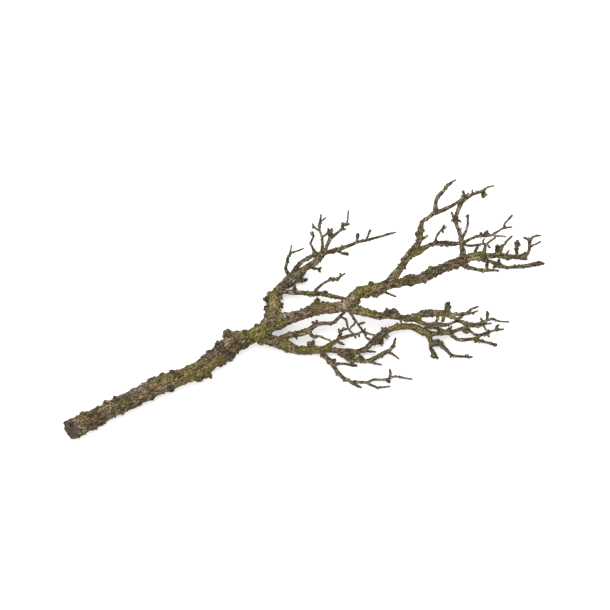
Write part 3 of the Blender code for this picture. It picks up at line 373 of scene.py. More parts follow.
@dataclass(frozen=True)
class GrowthFinish:
    """What grows on the bark in separate lobes, blades or grains."""
    name: str
    shades: tuple
    steps: tuple = (0.10, 0.50, 0.90)
    by_place: float = 0.35     # how far the tone follows the place rather than the single lobe
    edge: float = 0.0          # how much paler the edge or tip is

    def material(self) -> bpy.types.Material:
        """Build the material.

        Returns:
            The material, whose tone differs from lobe to lobe.
        """
        finish = Finish(self.name)
        make, place = finish.make, finish.place
        speck = make.sway(place, 1.1, 2.0)
        tone = (finish.painted("tone") * (1.0 - self.by_place)
                + (make.sway(place, 8.0, 2.0) * 0.5 + 0.5) * self.by_place
                + (finish.painted("edge") - 0.5) * self.edge + speck * 0.12)
        return finish.close(make.ramp(self.steps, self.shades, tone), 0.90 + speck * 0.03,
                            speck * 0.3 + 0.5, 0.15)


LOBES = GrowthFinish("lichen_lobe", inks((48, 44, 32), (88, 85, 65), (140, 134, 106)), edge=0.28)
BLADES = GrowthFinish("moss_blade", inks((66, 58, 18), (110, 101, 44), (158, 148, 86)), edge=0.35)
GRAINS = GrowthFinish("lichen_grain", inks((50, 42, 28), (108, 96, 72), (182, 166, 136)), by_place=0.10)


class Growth(Enum):
    """What covers a stretch of bark, or makes its tone paler or darker, partly as painted light and shade;
    the value names the painted attribute.
    """
    MOSS = "moss"
    CRUST = "crust"
    BARE = "bare"
    DAMP = "damp"
    RUST = "rust"
    GREY = "grey"
    LIT = "lit"


# Marks on the twig, seen from above: x, y and reach in millimetres, then a strength.
# PATCHES say where a growth covers the bark, or where the tone is painted paler or darker, partly as painted
# light and shade.
PATCHES = {
    Growth.MOSS: (
        (-148, -90, 6, 0.8), (-134, -82, 8, 0.9), (-124, -78, 10, 1.0), (-112, -71, 9, 1.0),
        (-104, -65, 7, 1.0), (-97, -61, 6, 1.0), (-148, -74, 8, 0.9), (-163, -79, 7, 0.9),
        (-132, -67, 9, 0.9), (-183, -86, 6, 0.5), (-172, -83, 5, 0.7), (-216, -113, 6, 0.6),
        (-203, -118, 7, 0.45), (-60, -30, 11, 1.0), (-48, -26, 10, 1.0), (-50, -36, 8, 0.9),
        (-72, -30, 8, 0.8), (-262, -132, 6, 0.55), (-257, -124, 6, 0.5), (-208, -116, 8, 0.5),
        (-36, 10, 8, 0.9), (-36, 20, 8, 1.0), (-30, 0, 7, 0.7), (-26, 5, 5, 1.0), (15, 7, 6, 1.0),
        (24, 7, 7, 0.9), (34, 6, 6, 0.6), (70, 24, 8, 1.0), (80, 24, 8, 1.0), (66, 14, 6, 0.6),
        (88, 30, 5, 0.9), (124, 34, 9, 1.0), (115, 30, 6, 0.6), (130, 30, 5, 0.8), (138, 68, 7, 1.0),
        (147, 74, 6, 0.8), (140, 90, 5, 0.7), (205, 66, 7, 0.7), (214, 69, 6, 1.0), (222, 72, 5, 0.9),
        (238, 62, 6, 0.6), (256, 64, 7, 0.6), (60, 2, 6, 0.5), (72, -2, 7, 0.9), (84, -6, 6, 0.8),
        (138, -14, 7, 0.9), (-20, -43, 9, 0.9), (0, -49, 8, 0.8), (15, -48, 8, 0.9), (30, -45, 8, 1.0),
        (45, -38, 6, 0.9), (62, -52, 7, 0.7), (112, -22, 8, 0.8), (126, -20, 9, 1.0), (140, -24, 8, 1.0),
        (150, -33, 6, 0.8), (206, -36, 6, 0.8), (165, -12, 5, 0.7), (190, -14, 5, 0.6), (-9, 45, 6, 0.4),
        (20, 60, 5, 0.5), (14, 18, 7, 0.5), (30, 16, 7, 0.5), (-28, -18, 8, 0.7), (170, -4, 5, 0.6)),
    Growth.BARE: (
        (-152, -83, 6, 0.5), (-92, -37, 7, 0.8), (-246, -130, 6, 0.4), (-222, -112, 9, 0.5),
        (-190, -102, 9, 0.8), (-176, -94, 10, 0.9), (-168, -90, 8, 0.7), (-95, -44, 8, 0.4),
        (-10, -12, 9, 0.7), (6, -5, 9, 0.8), (20, -1, 9, 0.9), (32, 0, 9, 0.9), (44, 4, 8, 0.9),
        (54, 8, 9, 1.0), (48, 16, 7, 0.7), (100, 28, 6, 0.6), (116, 50, 8, 0.5), (122, 60, 7, 0.5),
        (136, 76, 6, 0.8), (142, 38, 8, 0.8), (155, -20, 6, 0.5), (-22, -10, 8, 0.5)),
    # Painted shade and darker bark: these marks darken the tone.
    Growth.DAMP: (
        (-286, -138, 6, 1.0), (-101, -46, 5, 1.0), (-93, -50, 6, 1.0), (-86, -53, 5, 0.9),
        (-150, -83, 6, 0.4), (-44, 12, 5, 1.0), (-44, 2, 5, 1.0), (-10, -20, 9, 0.8), (12, -13, 9, 0.9),
        (106, -2, 6, 0.7), (126, 32, 9, 0.8), (160, 118, 24, 0.45), (10, -8, 15, 0.55), (85, -85, 30, 0.4),
        (118, 58, 12, 0.4), (112, 32, 10, 0.4), (36, -8, 8, 0.6), (109, 26, 6, 1.0), (113, 20, 6, 0.9),
        (150, 41, 9, 0.7), (160, 46, 9, 1.0), (170, 51, 8, 0.9), (182, 56, 9, 0.4), (131, 72, 5, 1.0),
        (190, 54, 5, 0.9), (100, -9, 8, 0.35), (122, -13, 7, 0.8), (-83, -54, 6, 0.9), (-70, -45, 6, 0.8),
        (-158, -98, 6, 0.9), (-241, -138, 7, 0.9), (57, -56, 7, 0.7), (137, 90, 4, 0.6), (171, 79, 5, 0.8),
        (160, 116, 5, 0.9), (175, 4, 4, 0.8), (233, 72, 4, 0.8), (-248, -130, 16, 0.85),
        (-212, -110, 16, 1.0), (-180, -98, 14, 0.75), (-190, -112, 8, 0.6), (-82, -42, 10, 0.6),
        (0, -15, 7, 0.8), (24, -10, 6, 0.8), (46, -6, 5, 0.7), (-4, -2, 8, 0.35), (143, 39, 8, 0.5),
        (182, 55, 9, 0.6), (94, -38, 5, 0.7), (81, 16, 6, 0.7), (12, -42, 5, 0.6)),
    # Painted light and paler bark: these marks lighten the tone.
    Growth.LIT: (
        (50, 6, 9, 1.0), (44, 2, 7, 0.8), (62, 14, 7, 0.7), (75, 23, 8, 0.35), (72, -3, 9, 0.9),
        (84, -6, 7, 0.6), (208, 62, 9, 0.9), (198, 62, 7, 0.8), (222, 68, 7, 0.8), (240, 62, 8, 0.5),
        (-12, -45, 12, 0.9), (-50, -28, 10, 0.35), (-60, -22, 8, 0.6), (-34, 8, 14, 0.9), (-90, -37, 6, 0.6),
        (72, -3, 12, 0.6), (112, -24, 7, 0.3), (130, -20, 8, 0.2), (-176, -92, 9, 0.1), (-140, -78, 9, 0.3),
        (0, 52, 12, 0.5), (112, 52, 8, 0.4), (200, -16, 16, 0.4), (-125, -75, 8, 0.4)),
    Growth.RUST: (
        (-250, -130, 18, 0.5), (-215, -112, 18, 0.55), (-182, -98, 14, 0.55), (25, 0, 20, 0.5),
        (-8, -12, 12, 0.5), (-88, -42, 11, 0.5), (-104, -52, 8, 0.5), (180, 54, 9, 0.8), (196, 59, 7, 0.7),
        (214, 63, 9, 0.45), (150, 40, 8, 0.5), (-152, -84, 7, 0.7), (-62, -34, 9, 0.5), (86, 22, 6, 0.7),
        (-100, -52, 8, 0.4)),
    # Grey bark; the four marks along the trunk's upper edge, from x -220 to x -180, also paint light there.
    Growth.GREY: (
        (-272, -140, 8, 0.7), (-220, -107, 7, 0.8), (-206, -99, 7, 0.9), (-192, -92, 7, 0.9),
        (-180, -86, 7, 0.7), (-96, -42, 7, 0.5), (-14, 36, 12, 0.7), (-6, 44, 12, 0.6), (8, 30, 9, 0.5),
        (112, -6, 7, 0.3), (150, -6, 9, 0.6), (205, -22, 12, 0.6), (20, -22, 12, 0.7), (50, -78, 16, 0.7),
        (90, -86, 16, 0.7), (170, 130, 22, 0.5), (230, 95, 18, 0.6), (265, 55, 12, 0.7), (45, 95, 22, 0.6)),
    Growth.CRUST: (
        (-265, -150, 4, 1.0), (-240, -132, 8, 0.5), (-108, -50, 8, 0.5), (-160, -80, 6, 0.4),
        (56, 0, 5, 0.5), (80, 20, 6, 0.4), (105, -3, 5, 0.4), (-36, -8, 7, 0.5), (174, 0, 6, 0.5),
        (150, -6, 6, 0.6), (235, 66, 6, 0.6), (93, -34, 7, 0.4), (163, -40, 5, 0.6), (11, 91, 3, 1.0),
        (65, 89, 3, 0.9), (52, 66, 3, 0.9), (158, -54, 4, 0.7)),
}

# Spots where lumps and lobes of lichen crowd, by their reach.
CLUMP_SPOTS = {
    2: ((22, 113), (178, -56), (90, -94)),
    3: ((-132, -66), (-141, -69), (-117, -83), (-180, -107), (-195, -115), (-217, -123), (-70, -26),
        (-205, -97), (-54, -15), (-38, -36), (-30, -43), (-20, -50), (-7, -55), (8, -58), (22, -57),
        (-17, 43), (-15, 66), (-10, 25), (10, 19), (27, 19), (46, 41), (10, 66), (15, 68), (81, 92),
        (54, 101), (30, 87), (12, 99), (66, 88), (4, 4), (91, 20), (100, 34), (92, 1), (130, 30), (152, 48),
        (160, 40), (145, 33), (175, 60), (188, 46), (116, 62), (121, 60), (128, 70), (137, 84), (161, 128),
        (203, 139), (210, 140), (189, 127), (190, 95), (198, 111), (230, 92), (250, 111), (243, 99),
        (248, 60), (262, 52), (170, -5), (151, -3), (141, 0), (130, -12), (122, -16), (193, -7), (234, -21),
        (206, -20), (195, -23), (176, -24), (219, -31), (159, -40), (198, -57), (0, -22), (58, -28),
        (75, -28), (48, -42), (88, -30), (80, -36), (105, -74), (118, -81), (84, -60), (95, -55), (30, -65),
        (150, -36), (154, -45)),
    4: ((-89, -27), (-76, -26), (-99, -36), (-104, -42), (-118, -57), (-124, -61), (-158, -74), (-169, -78),
        (-179, -83), (-225, -106), (-237, -112), (-247, -117), (-285, -137), (-86, -61), (-65, -42),
        (-126, -86), (-250, -143), (-265, -151), (-45, -6), (-26, 5), (-38, 27), (-16, 60), (-8, 50),
        (-2, 37), (4, 35), (37, 36), (8, 54), (18, 59), (20, 48), (40, 71), (53, 66), (65, 89), (11, 91),
        (20, 103), (24, 9), (81, 31), (67, 26), (87, 16), (79, 15), (114, -5), (133, 38), (136, 73),
        (141, 96), (160, 118), (176, 150), (171, 145), (165, 137), (193, 139), (168, 97), (162, 81),
        (178, 79), (222, 72), (212, 71), (257, 79), (257, 70), (272, 83), (266, 62), (235, 55), (235, 48),
        (221, 53), (281, 55), (222, -6), (230, -11), (209, -38), (230, -42), (157, -53), (160, -56),
        (15, -15), (-8, -33), (16, -32), (46, -25), (70, -16), (97, -26), (107, -45), (63, -67), (40, -77),
        (49, -84), (63, -88), (103, -86)),
    5: ((-82, -27), (-111, -49), (-262, -125), (-83, -55), (-71, -46), (-158, -98), (-241, -139), (-43, 11),
        (-44, 3), (48, 101), (32, 93), (15, 10), (106, -3), (125, 36), (139, 90), (217, 138), (184, 108),
        (171, 79), (219, 90), (234, 73), (175, 4), (11, -42), (94, -38), (55, -51), (59, -56), (70, -58),
        (38, -62)),
    6: ((164, -41),),
}
CLUMPS = tuple((x, y, reach) for reach, spots in CLUMP_SPOTS.items() for x, y in spots)

# Places where the skin is fuller or slimmer than the solid limb, by so many millimetres.
SWELLS = (
    (-280, -133, 6, 1.3), (-273, -130, 6, 0.6), (-256, -147, 8, -0.5), (-282, -150, 6, -0.5),
    (-250, -117, 7, 0.5), (-240, -141, 5, 0.8), (-235, -111, 6, 1.0), (-182, -107, 8, 0.9),
    (-200, -114, 8, 0.9), (-218, -123, 8, 0.8), (-204, -122, 8, 0.4), (-180, -110, 5, 0.5),
    (-156, -101, 3, -0.9), (-119, -84, 4, 0.8), (-74, -50, 4, -0.8), (-99, -36, 4, 1.5), (-90, -27, 4, 0.8),
    (-96, -34, 3, 0.9), (-79, -28, 5, 1.8), (-82, -29, 3, 1.3), (-67, -24, 5, -0.9), (-67, -45, 4, -0.8),
    (-43, 16, 3, 1.2), (-46, -2, 5, -0.8), (-34, 28, 5, -0.8), (-23, -4, 4, 1.4), (-8, -38, 6, -1.2),
    (-14, -19, 5, -1.3), (-32, -28, 4, -0.8), (-21, 17, 4, -1.5), (-38, 24, 6, -1.8), (-44, 6, 5, -1.3),
    (54, -5, 4, 0.9), (68, 8, 3, -0.9), (99, -13, 3, -0.9), (55, -47, 7, -0.7), (158, -24, 6, -0.4),
    (130, 41, 5, 1.4), (157, 51, 5, 1.0), (92, 17, 6, 1.3), (76, 13, 7, 1.2), (83, 32, 4, 1.2),
    (65, 25, 4, 0.9), (24, 9, 5, 0.8), (94, -12, 8, 0.9), (112, 0, 5, 0.9), (22, -9, 9, 0.5),
    (15, 69, 4, 0.8), (30, 82, 4, 0.7), (39, -15, 7, 0.6), (165, -12, 6, 0.5), (140, -27, 5, 0.6),
    (-2, -30, 8, 0.8), (8, -27, 6, 0.6), (51, 100, 3, 1.0), (19, 100, 4, 0.8), (11, 91, 3, 0.7),
    (66, 87, 3, 1.1), (81, 93, 3, 0.6), (103, 91, 4, 0.5), (42, 35, 4, 0.8), (159, 127, 6, 0.5),
    (220, 137, 5, 0.5), (191, 124, 5, 0.5), (144, 84, 5, 0.7), (139, 65, 4, 0.5), (185, 110, 6, 0.6),
    (181, 76, 6, 0.5), (207, 68, 7, 0.7), (255, 80, 6, 0.5),
)

# Places where the skin lies elsewhere than that limb: the last two numbers are its shift along x and y.
PULLS = (
    (-114, -84, 4.5, -1.2, 2.6), (-95, -69, 4.5, -1.3, 2.6), (-3, -29, 11, 0.3, -1.3),
)

THIN_GIRTH = 1.6               # a limb thinner than this either side of its middle is made fuller,
THIN_SWELL = 0.45              # by this share of what it lacks


@dataclass(frozen=True)
class Build:
    """How limbs of one stoutness are skinned."""
    voxel: float               # size of the remesh
    kept: float                # share of its faces that is kept
    passes: int                # rounds of smoothing
    lumps: float               # lumps on each square centimetre
    lump_low: float
    lump_high: float
    relief: float              # share of the full bark relief


STOUT = Build(0.52, 0.40, 14, 3.0, 0.7, 2.0, 1.0)
MIDDLE = Build(0.48, 0.40, 8, 5.5, 0.6, 1.7, 0.9)
SLENDER = Build(0.40, 0.36, 4, 7.0, 0.4, 1.25, 0.8)

LIMBS_BY_BUILD = {
    STOUT: ("trunk", "left_limb", "central_limb", "upper_limb"),
    MIDDLE: ("upper_right_limb", "upper_left_limb", "right_limb", "lower_limb", "lower_runner"),
    SLENDER: ("lower_right_fan", "tip_limb", "right_top_shoot", "left_fan", "left_spray", "left_runner",
        "cross_shoot", "crown_shoot", "bridge_shoot", "upright_shoot", "tip_lower_shoot",
        "low_right_shoot", "right_mid_shoot", "inner_shoot", "lower_tuft", "lower_foot", "low_side_shoot",
        "hanging_shoot"),
}
LIMBS = {name: build for build, names in LIMBS_BY_BUILD.items() for name in names}


class GeometryTree(Maker):
    """A geometry node tree with named inputs."""

    def __init__(self, name: str, inputs: "dict[str, str]") -> None:
        """Make the tree.

        Args:
            name: the tree's name.
            inputs: name and kind of each input besides the geometry.
        """
        super().__init__(bpy.data.node_groups.new(name, "GeometryNodeTree"))
        interface = self.tree.interface
        interface.new_socket("Geometry", in_out="OUTPUT", socket_type="NodeSocketGeometry")
        interface.new_socket("Geometry", in_out="INPUT", socket_type="NodeSocketGeometry")
        for title, kind in inputs.items():
            interface.new_socket(title, in_out="INPUT", socket_type="NodeSocket" + kind)
        entry = self.tree.nodes.new("NodeGroupInput")
        self.given = {socket.name: Socket(self, socket) for socket in entry.outputs if socket.name}

    def named(self, name: str) -> Socket:
        """Read a value painted on the mesh."""
        return self.add("GeometryNodeInputNamedAttribute", {"data_type": "FLOAT"}, {"Name": name},
                        "Attribute")

    def random(self, low: "float | tuple", high: "float | tuple", seed: int) -> Socket:
        """Draw one number or vector for each point."""
        kind = "FLOAT_VECTOR" if isinstance(low, tuple) else "FLOAT"
        return self.add("FunctionNodeRandomValue", {"data_type": kind},
                        {"Min": low, "Max": high, "Seed": seed}, "Value")

    def store(self, geometry: Socket, name: str, value: Socket, kind: str = "FLOAT",
              domain: str = "POINT") -> Socket:
        """Store a value on the geometry under a name."""
        return self.add("GeometryNodeStoreNamedAttribute", {"data_type": kind, "domain": domain},
                        {"Geometry": geometry, "Name": name, "Value": value})

    def end(self, geometry: Socket) -> None:
        """Hand the geometry to the tree's output."""
        leave = self.tree.nodes.new("NodeGroupOutput")
        self.tree.links.new(geometry.link, leave.inputs["Geometry"])

    def run(self, obj: bpy.types.Object, values: "dict[str, object]") -> None:
        """Run the tree on an object and keep the result as its plain mesh.

        Args:
            obj: the object, whose mesh is replaced.
            values: value of each named input.
        """
        modifier = obj.modifiers.new(self.tree.name, "NODES")
        modifier.node_group = self.tree
        names = {item.name: item.identifier for item in self.tree.interface.items_tree
                 if item.in_out == "INPUT"}
        for title, value in values.items():
            modifier[names[title]] = value
        keep_result(obj)


def keep_result(obj: bpy.types.Object) -> None:
    """Replace an object's mesh by the result of its modifiers, and remove them.

    Args:
        obj: the object.
    """
    graph = bpy.context.evaluated_depsgraph_get()
    mesh = bpy.data.meshes.new_from_object(obj.evaluated_get(graph), preserve_all_data_layers=True,
                                           depsgraph=graph)
    obj.modifiers.clear()
    obj.data = mesh
    mesh.name = obj.name


def new_object(name: str, data: bpy.types.ID) -> bpy.types.Object:
    """Put an object in the scene.

    Args:
        name: the object's name.
        data: its mesh, lamp or lens.

    Returns:
        The object.
    """
    obj = bpy.data.objects.new(name, data)
    bpy.context.scene.collection.objects.link(obj)
    return obj


def read_vectors(items: bpy.types.bpy_prop_collection, name: str) -> np.ndarray:
    """Read one vector of each item.

    Args:
        items: a mesh's vertices or normals.
        name: the vector's name.

    Returns:
        One row for each item.
    """
    flat = np.empty(len(items) * 3, np.float32)
    items.foreach_get(name, flat)
    return flat.reshape(-1, 3).astype(float)


def corners(mesh: bpy.types.Mesh) -> np.ndarray:
    """Read the mesh's corners, in millimetres."""
    return read_vectors(mesh.vertices, "co") / MM


def outwards(mesh: bpy.types.Mesh) -> np.ndarray:
    """Read the mesh's corner normals."""
    return read_vectors(mesh.vertex_normals, "vector")


def move_corners(mesh: bpy.types.Mesh, places: np.ndarray) -> None:
    """Move the mesh's corners to places in millimetres."""
    mesh.vertices.foreach_set("co", (places * MM).astype(np.float32).ravel())
    mesh.update()


def smooth(mesh: bpy.types.Mesh) -> None:
    """Shade every face smooth."""
    mesh.polygons.foreach_set("use_smooth", [True] * len(mesh.polygons))


def paint(mesh: bpy.types.Mesh, name: str, values: np.ndarray) -> None:
    """Store one number for each corner."""
    layer = mesh.attributes.get(name) or mesh.attributes.new(name, "FLOAT", "POINT")
    layer.data.foreach_set("value", values.astype(np.float32))


def nearness(places: np.ndarray, x: float, y: float, reach: float) -> np.ndarray:
    """Fall from 1 at a spot seen from above to nearly 0 at twice its reach."""
    return np.exp(-((places[:, 0] - x) ** 2 + (places[:, 1] - y) ** 2) / reach ** 2)


def near_marks(places: np.ndarray, marks: "tuple[tuple, ...]") -> np.ndarray:
    """Measure how close places are to marks, seen from above.

    Args:
        places: the places.
        marks: x, y, reach and, where it isn't 1, strength of each mark.

    Returns:
        From 0 far away to the strength at a mark.
    """
    cover = np.zeros(len(places))
    for x, y, reach, *strength in marks:
        cover = np.maximum(cover, (strength[0] if strength else 1.0) * nearness(places, x, y, reach))
    return cover


def reshaped(places: np.ndarray, normals: np.ndarray, girth: np.ndarray) -> np.ndarray:
    """Move a skin off its limb's solid where the twig is fuller, slimmer or lies elsewhere.

    Args:
        places: the skin's corners.
        normals: its normals there.
        girth: half of its thickness there.

    Returns:
        The corners' new places.
    """
    push, moved = THIN_SWELL * np.clip(THIN_GIRTH - girth, 0.0, 1.0), places.copy()
    for x, y, reach, amount in SWELLS:
        push += amount * nearness(places, x, y, reach)
    for x, y, reach, *shift in PULLS:
        moved[:, :2] += nearness(places, x, y, reach)[:, None] * np.array(shift)
    return moved + normals * push[:, None]


def half_thickness(mesh: bpy.types.Mesh) -> np.ndarray:
    """Measure how thick the limb is under each corner.

    Args:
        mesh: a closed mesh.

    Returns:
        Half the length of the way through, in millimetres.
    """
    places, normals = corners(mesh) * MM, outwards(mesh)
    tree = BVHTree.FromPolygons([tuple(place) for place in places],
                                [tuple(face.vertices) for face in mesh.polygons])
    longest, under_the_skin, where_open = 30 * MM, 0.02 * MM, 0.8
    halves = np.full(len(places), where_open)
    for index, (place, normal) in enumerate(zip(places, normals)):
        distance = tree.ray_cast(Vector(place - normal * under_the_skin), Vector(-normal), longest)[3]
        if distance:
            halves[index] = distance / MM / 2
    return halves


def rounded(mesh: bpy.types.Mesh, passes: int) -> None:
    """Smooth a mesh without shrinking it, by turns inwards and outwards.

    Args:
        mesh: the mesh to change.
        passes: number of turns.
    """
    places = corners(mesh)
    ends = np.empty(len(mesh.edges) * 2, np.int32)
    mesh.edges.foreach_get("vertices", ends)
    first, second = ends.reshape(-1, 2).T
    count = np.bincount(ends, minlength=len(places)).astype(float)
    inwards, back_out = 0.52, -0.545
    for turn in range(2 * passes):
        pull = inwards if turn % 2 == 0 else back_out
        middle = np.empty_like(places)
        for axis in range(3):
            middle[:, axis] = (np.bincount(first, places[second, axis], len(places))
                               + np.bincount(second, places[first, axis], len(places)))
        middle /= np.maximum(count, 1.0)[:, None]
        places += pull * (middle - places)
    move_corners(mesh, places)


@dataclass(frozen=True)
class CutEnd:
    """The sawn face at the thick end: its middle and the way it faces."""
    middle: tuple = (-278.0, -145.5, 11.2)
    nub: tuple = (-286.0, -137.0, 16.0)        # the stub beside the face, where the turn round it starts
    along: tuple = (0.894, 0.447, 0.02)
    slant: float = 0.62
    reach: float = 16.0
    depth: float = 2.2                         # of the hollows that still belong to the face
    level: float = 0.45                        # how closely its corners face as it does

    def paint_on(self, mesh: bpy.types.Mesh) -> None:
        """Mark the cut face, and where on it each corner lies from its pith.

        Args:
            mesh: the skin of the limb that was cut.
        """
        along = np.array(self.along) / np.linalg.norm(self.along)
        facing = -along + self.slant * np.array((0.0, 0.0, 1.0))
        facing /= np.linalg.norm(facing)
        offset = corners(mesh) - np.array(self.middle)
        ahead = offset @ facing
        ring = np.linalg.norm(offset - np.outer(ahead, facing), axis=1)
        cut = (ahead > -self.depth) & (ring < self.reach) & (outwards(mesh) @ facing > self.level)
        paint(mesh, "cut", cut.astype(float))
        paint(mesh, "ring", ring)
        across = np.array(self.nub) - np.array(self.middle)
        across -= facing * (across @ facing)
        across /= np.linalg.norm(across)
        paint(mesh, "face_up", offset @ np.cross(facing, across))
        paint(mesh, "face_side", -(offset @ across))


@dataclass
class Limbs:
    """Skins every limb of the frame."""
    sink: float = 2.6          # how far a limb reaches into its neighbour over a fork's slit
    sink_taper: float = 0.93
    slit: float = 0.7          # the widest slit that is closed
    meets: float = -0.7        # how squarely two faces over a slit look at each other
    longest_edge: float = 2.4  # of the limb that is given lumps
    halvings: int = 3          # rounds in which longer edges are cut in half
    search: float = 6.0        # how far from its solid a skin's height above it is read

    def __post_init__(self) -> None:
        """Make the node trees and the material that all limbs share."""
        self.lumps = self.lump_tree()
        self.relief = self.relief_tree()
        self.material = BarkFinish().material()
        self.solids = {name: self.merged(name) for name in LIMBS}
        self.trees = {name: BVHTree.FromBMesh(solid) for name, solid in self.solids.items()}

    @staticmethod
    def merged(name: str) -> bmesh.types.BMesh:
        """Copy a limb of the frame with its loose triangles joined.

        Args:
            name: the limb.

        Returns:
            The copy, to be freed.
        """
        solid = bmesh.new()
        solid.from_mesh(frame["nodes"][name].data)
        bmesh.ops.remove_doubles(solid, verts=solid.verts, dist=1e-6)
        bmesh.ops.recalc_face_normals(solid, faces=solid.faces)
        return solid

    @staticmethod
    def lump_tree() -> GeometryTree:
        """Build the tree that sets lumps on a limb before it is remeshed.

        Returns:
            The tree.
        """
        tree = GeometryTree("bark_lumps", {"Lumps per square metre": "Float", "Smallest lump": "Float",
                                           "Largest lump": "Float", "Seed": "Int"})
        given, clump = tree.given, tree.named("clump")
        place = tree.add("GeometryNodeInputPosition")
        crowd = tree.ease(tree.noise(place, 16.0, 2.0), 0.40, 0.62)
        density = given["Lumps per square metre"] * (crowd + 0.15 + clump * 3.0)
        scatter = tree.add("GeometryNodeDistributePointsOnFaces", None,
                           {"Mesh": given["Geometry"], "Density": density, "Seed": given["Seed"]}, "Points")
        size = tree.random(0.0, 1.0, 11) ** 2.2
        size = given["Smallest lump"] + size * (given["Largest lump"] - given["Smallest lump"])
        size = (size + clump * (0.35 * MM)).least(tree.named("girth") * (0.55 * MM) + 0.3 * MM
                                                  + clump * (0.6 * MM))
        ball = tree.add("GeometryNodeMeshIcoSphere", None, {"Radius": 1.0, "Subdivisions": 2}, "Mesh")
        shape = tree.joined(size * tree.random(0.75, 1.4, 12), size * tree.random(0.7, 1.2, 13),
                            size * tree.random(0.6, 1.0, 14))
        balls = tree.add("GeometryNodeInstanceOnPoints", None,
                         {"Points": scatter, "Instance": ball, "Scale": shape,
                          "Rotation": tree.random((0.0, 0.0, 0.0), (6.28, 6.28, 6.28), 15)})
        whole = tree.add("GeometryNodeJoinGeometry")
        join = whole.link.node
        tree.tree.links.new(tree.add("GeometryNodeRealizeInstances", None, {0: balls}).link, join.inputs[0])
        tree.tree.links.new(given["Geometry"].link, join.inputs[0])
        tree.end(whole)
        return tree

    @staticmethod
    def relief_tree() -> GeometryTree:
        """Build the tree that carves bark relief into a skin and stores its height.

        Returns:
            The tree.
        """
        tree = GeometryTree("bark_relief", {"Relief": "Float", "Grain": "Vector"})
        place = tree.add("GeometryNodeInputPosition")
        grain = tree.given["Grain"]
        along = tree.vector("DOT_PRODUCT", place, grain, 1)
        drawn = tree.vector("SUBTRACT", place, tree.scaled(grain, along * 0.65))
        bulge = tree.noise(place, 7.5, 2.0) - 0.5
        plate = tree.ease(tree.cells(drawn, 3.2, "DISTANCE_TO_EDGE"), 0.02, 0.24)
        knotty = tree.noise(place, 2.7, 3.0, 0.62) - 0.5
        pimple = tree.ease(tree.cells(place, 2.1), 0.52, 0.18)
        pimple = pimple * tree.ease(tree.noise(place, 9.0, 2.0), 0.42, 0.6)
        height = bulge * 1.2 + (plate - 0.7) * 0.4 + knotty * 1.6 + pimple * 0.45 + 0.05
        thin = tree.add("ShaderNodeClamp", None, {0: tree.named("girth") / 5.5, "Min": 0.22, "Max": 1.0})
        push = height * tree.given["Relief"] * thin * MM
        way = tree.scaled(tree.add("GeometryNodeInputNormal"), push)
        shaded = tree.add("ShaderNodeMapRange", {"interpolation_type": "LINEAR"},
                          {"Value": height, "From Min": -1.0, "From Max": 1.0})
        marked = tree.store(tree.given["Geometry"], "relief", shaded)
        marked = tree.store(marked, "drawn", drawn, "FLOAT_VECTOR")
        tree.end(tree.add("GeometryNodeSetPosition", None, {"Geometry": marked, "Offset": way}))
        return tree

    @staticmethod
    def in_order(solid: bmesh.types.BMesh) -> bmesh.types.BMesh:
        """Make a solid anew from sorted faces, because extruding leaves them in any order.

        Args:
            solid: the solid, which is freed.

        Returns:
            The new one, the same in each run.
        """
        solid.verts.index_update()
        places, faces = [tuple(corner.co) for corner in solid.verts], []
        for face in solid.faces:
            numbers = [corner.index for corner in face.verts]
            first = numbers.index(min(numbers))
            faces.append(tuple(numbers[first:] + numbers[:first]))
        solid.free()
        mesh = bpy.data.meshes.new("sorted")
        mesh.from_pydata(places, [], sorted(faces))
        fresh = bmesh.new()
        fresh.from_mesh(mesh)
        bpy.data.meshes.remove(mesh)
        return fresh

    def over_the_forks(self, name: str) -> bpy.types.Mesh:
        """Copy a limb with the faces that meet another limb pushed into that limb.

        Args:
            name: the limb.

        Returns:
            The mesh, closed and with short edges.
        """
        solid = self.solids[name].copy()
        others = [tree for other, tree in self.trees.items() if other != name]
        off_the_face, meeting = 0.01 * MM, {}
        for face in solid.faces:
            start = face.calc_center_median() + face.normal * off_the_face
            for tree in others:
                _, normal, _, distance = tree.ray_cast(start, face.normal, self.slit * MM)
                if distance is not None and normal.dot(face.normal) < self.meets:
                    meeting[face] = True
                    break
        groups = []
        while meeting:
            group, front = [], [meeting.popitem()[0]]
            while front:
                face = front.pop()
                group.append(face)
                for near in (near for edge in face.edges for near in edge.link_faces if near in meeting):
                    del meeting[near]
                    front.append(near)
            groups.append(group)
        for group in groups:
            area = sum(face.calc_area() for face in group)
            facing = sum((face.normal * face.calc_area() for face in group), Vector()).normalized()
            middle = sum((face.calc_center_median() * face.calc_area() for face in group), Vector()) / area
            made = bmesh.ops.extrude_face_region(solid, geom=group)["geom"]
            for corner in (item for item in made if isinstance(item, bmesh.types.BMVert)):
                corner.co = middle + (corner.co - middle) * self.sink_taper + facing * self.sink * MM
        solid = self.in_order(solid)
        for _ in range(self.halvings):
            long = [edge for edge in solid.edges if edge.calc_length() > self.longest_edge * MM]
            bmesh.ops.subdivide_edges(solid, edges=long, cuts=1)
            bmesh.ops.triangulate(solid, faces=[face for face in solid.faces if len(face.verts) > 3])
        mesh = bpy.data.meshes.new(name + "_bark")
        solid.to_mesh(mesh)
        solid.free()
        mesh.update()
        return mesh

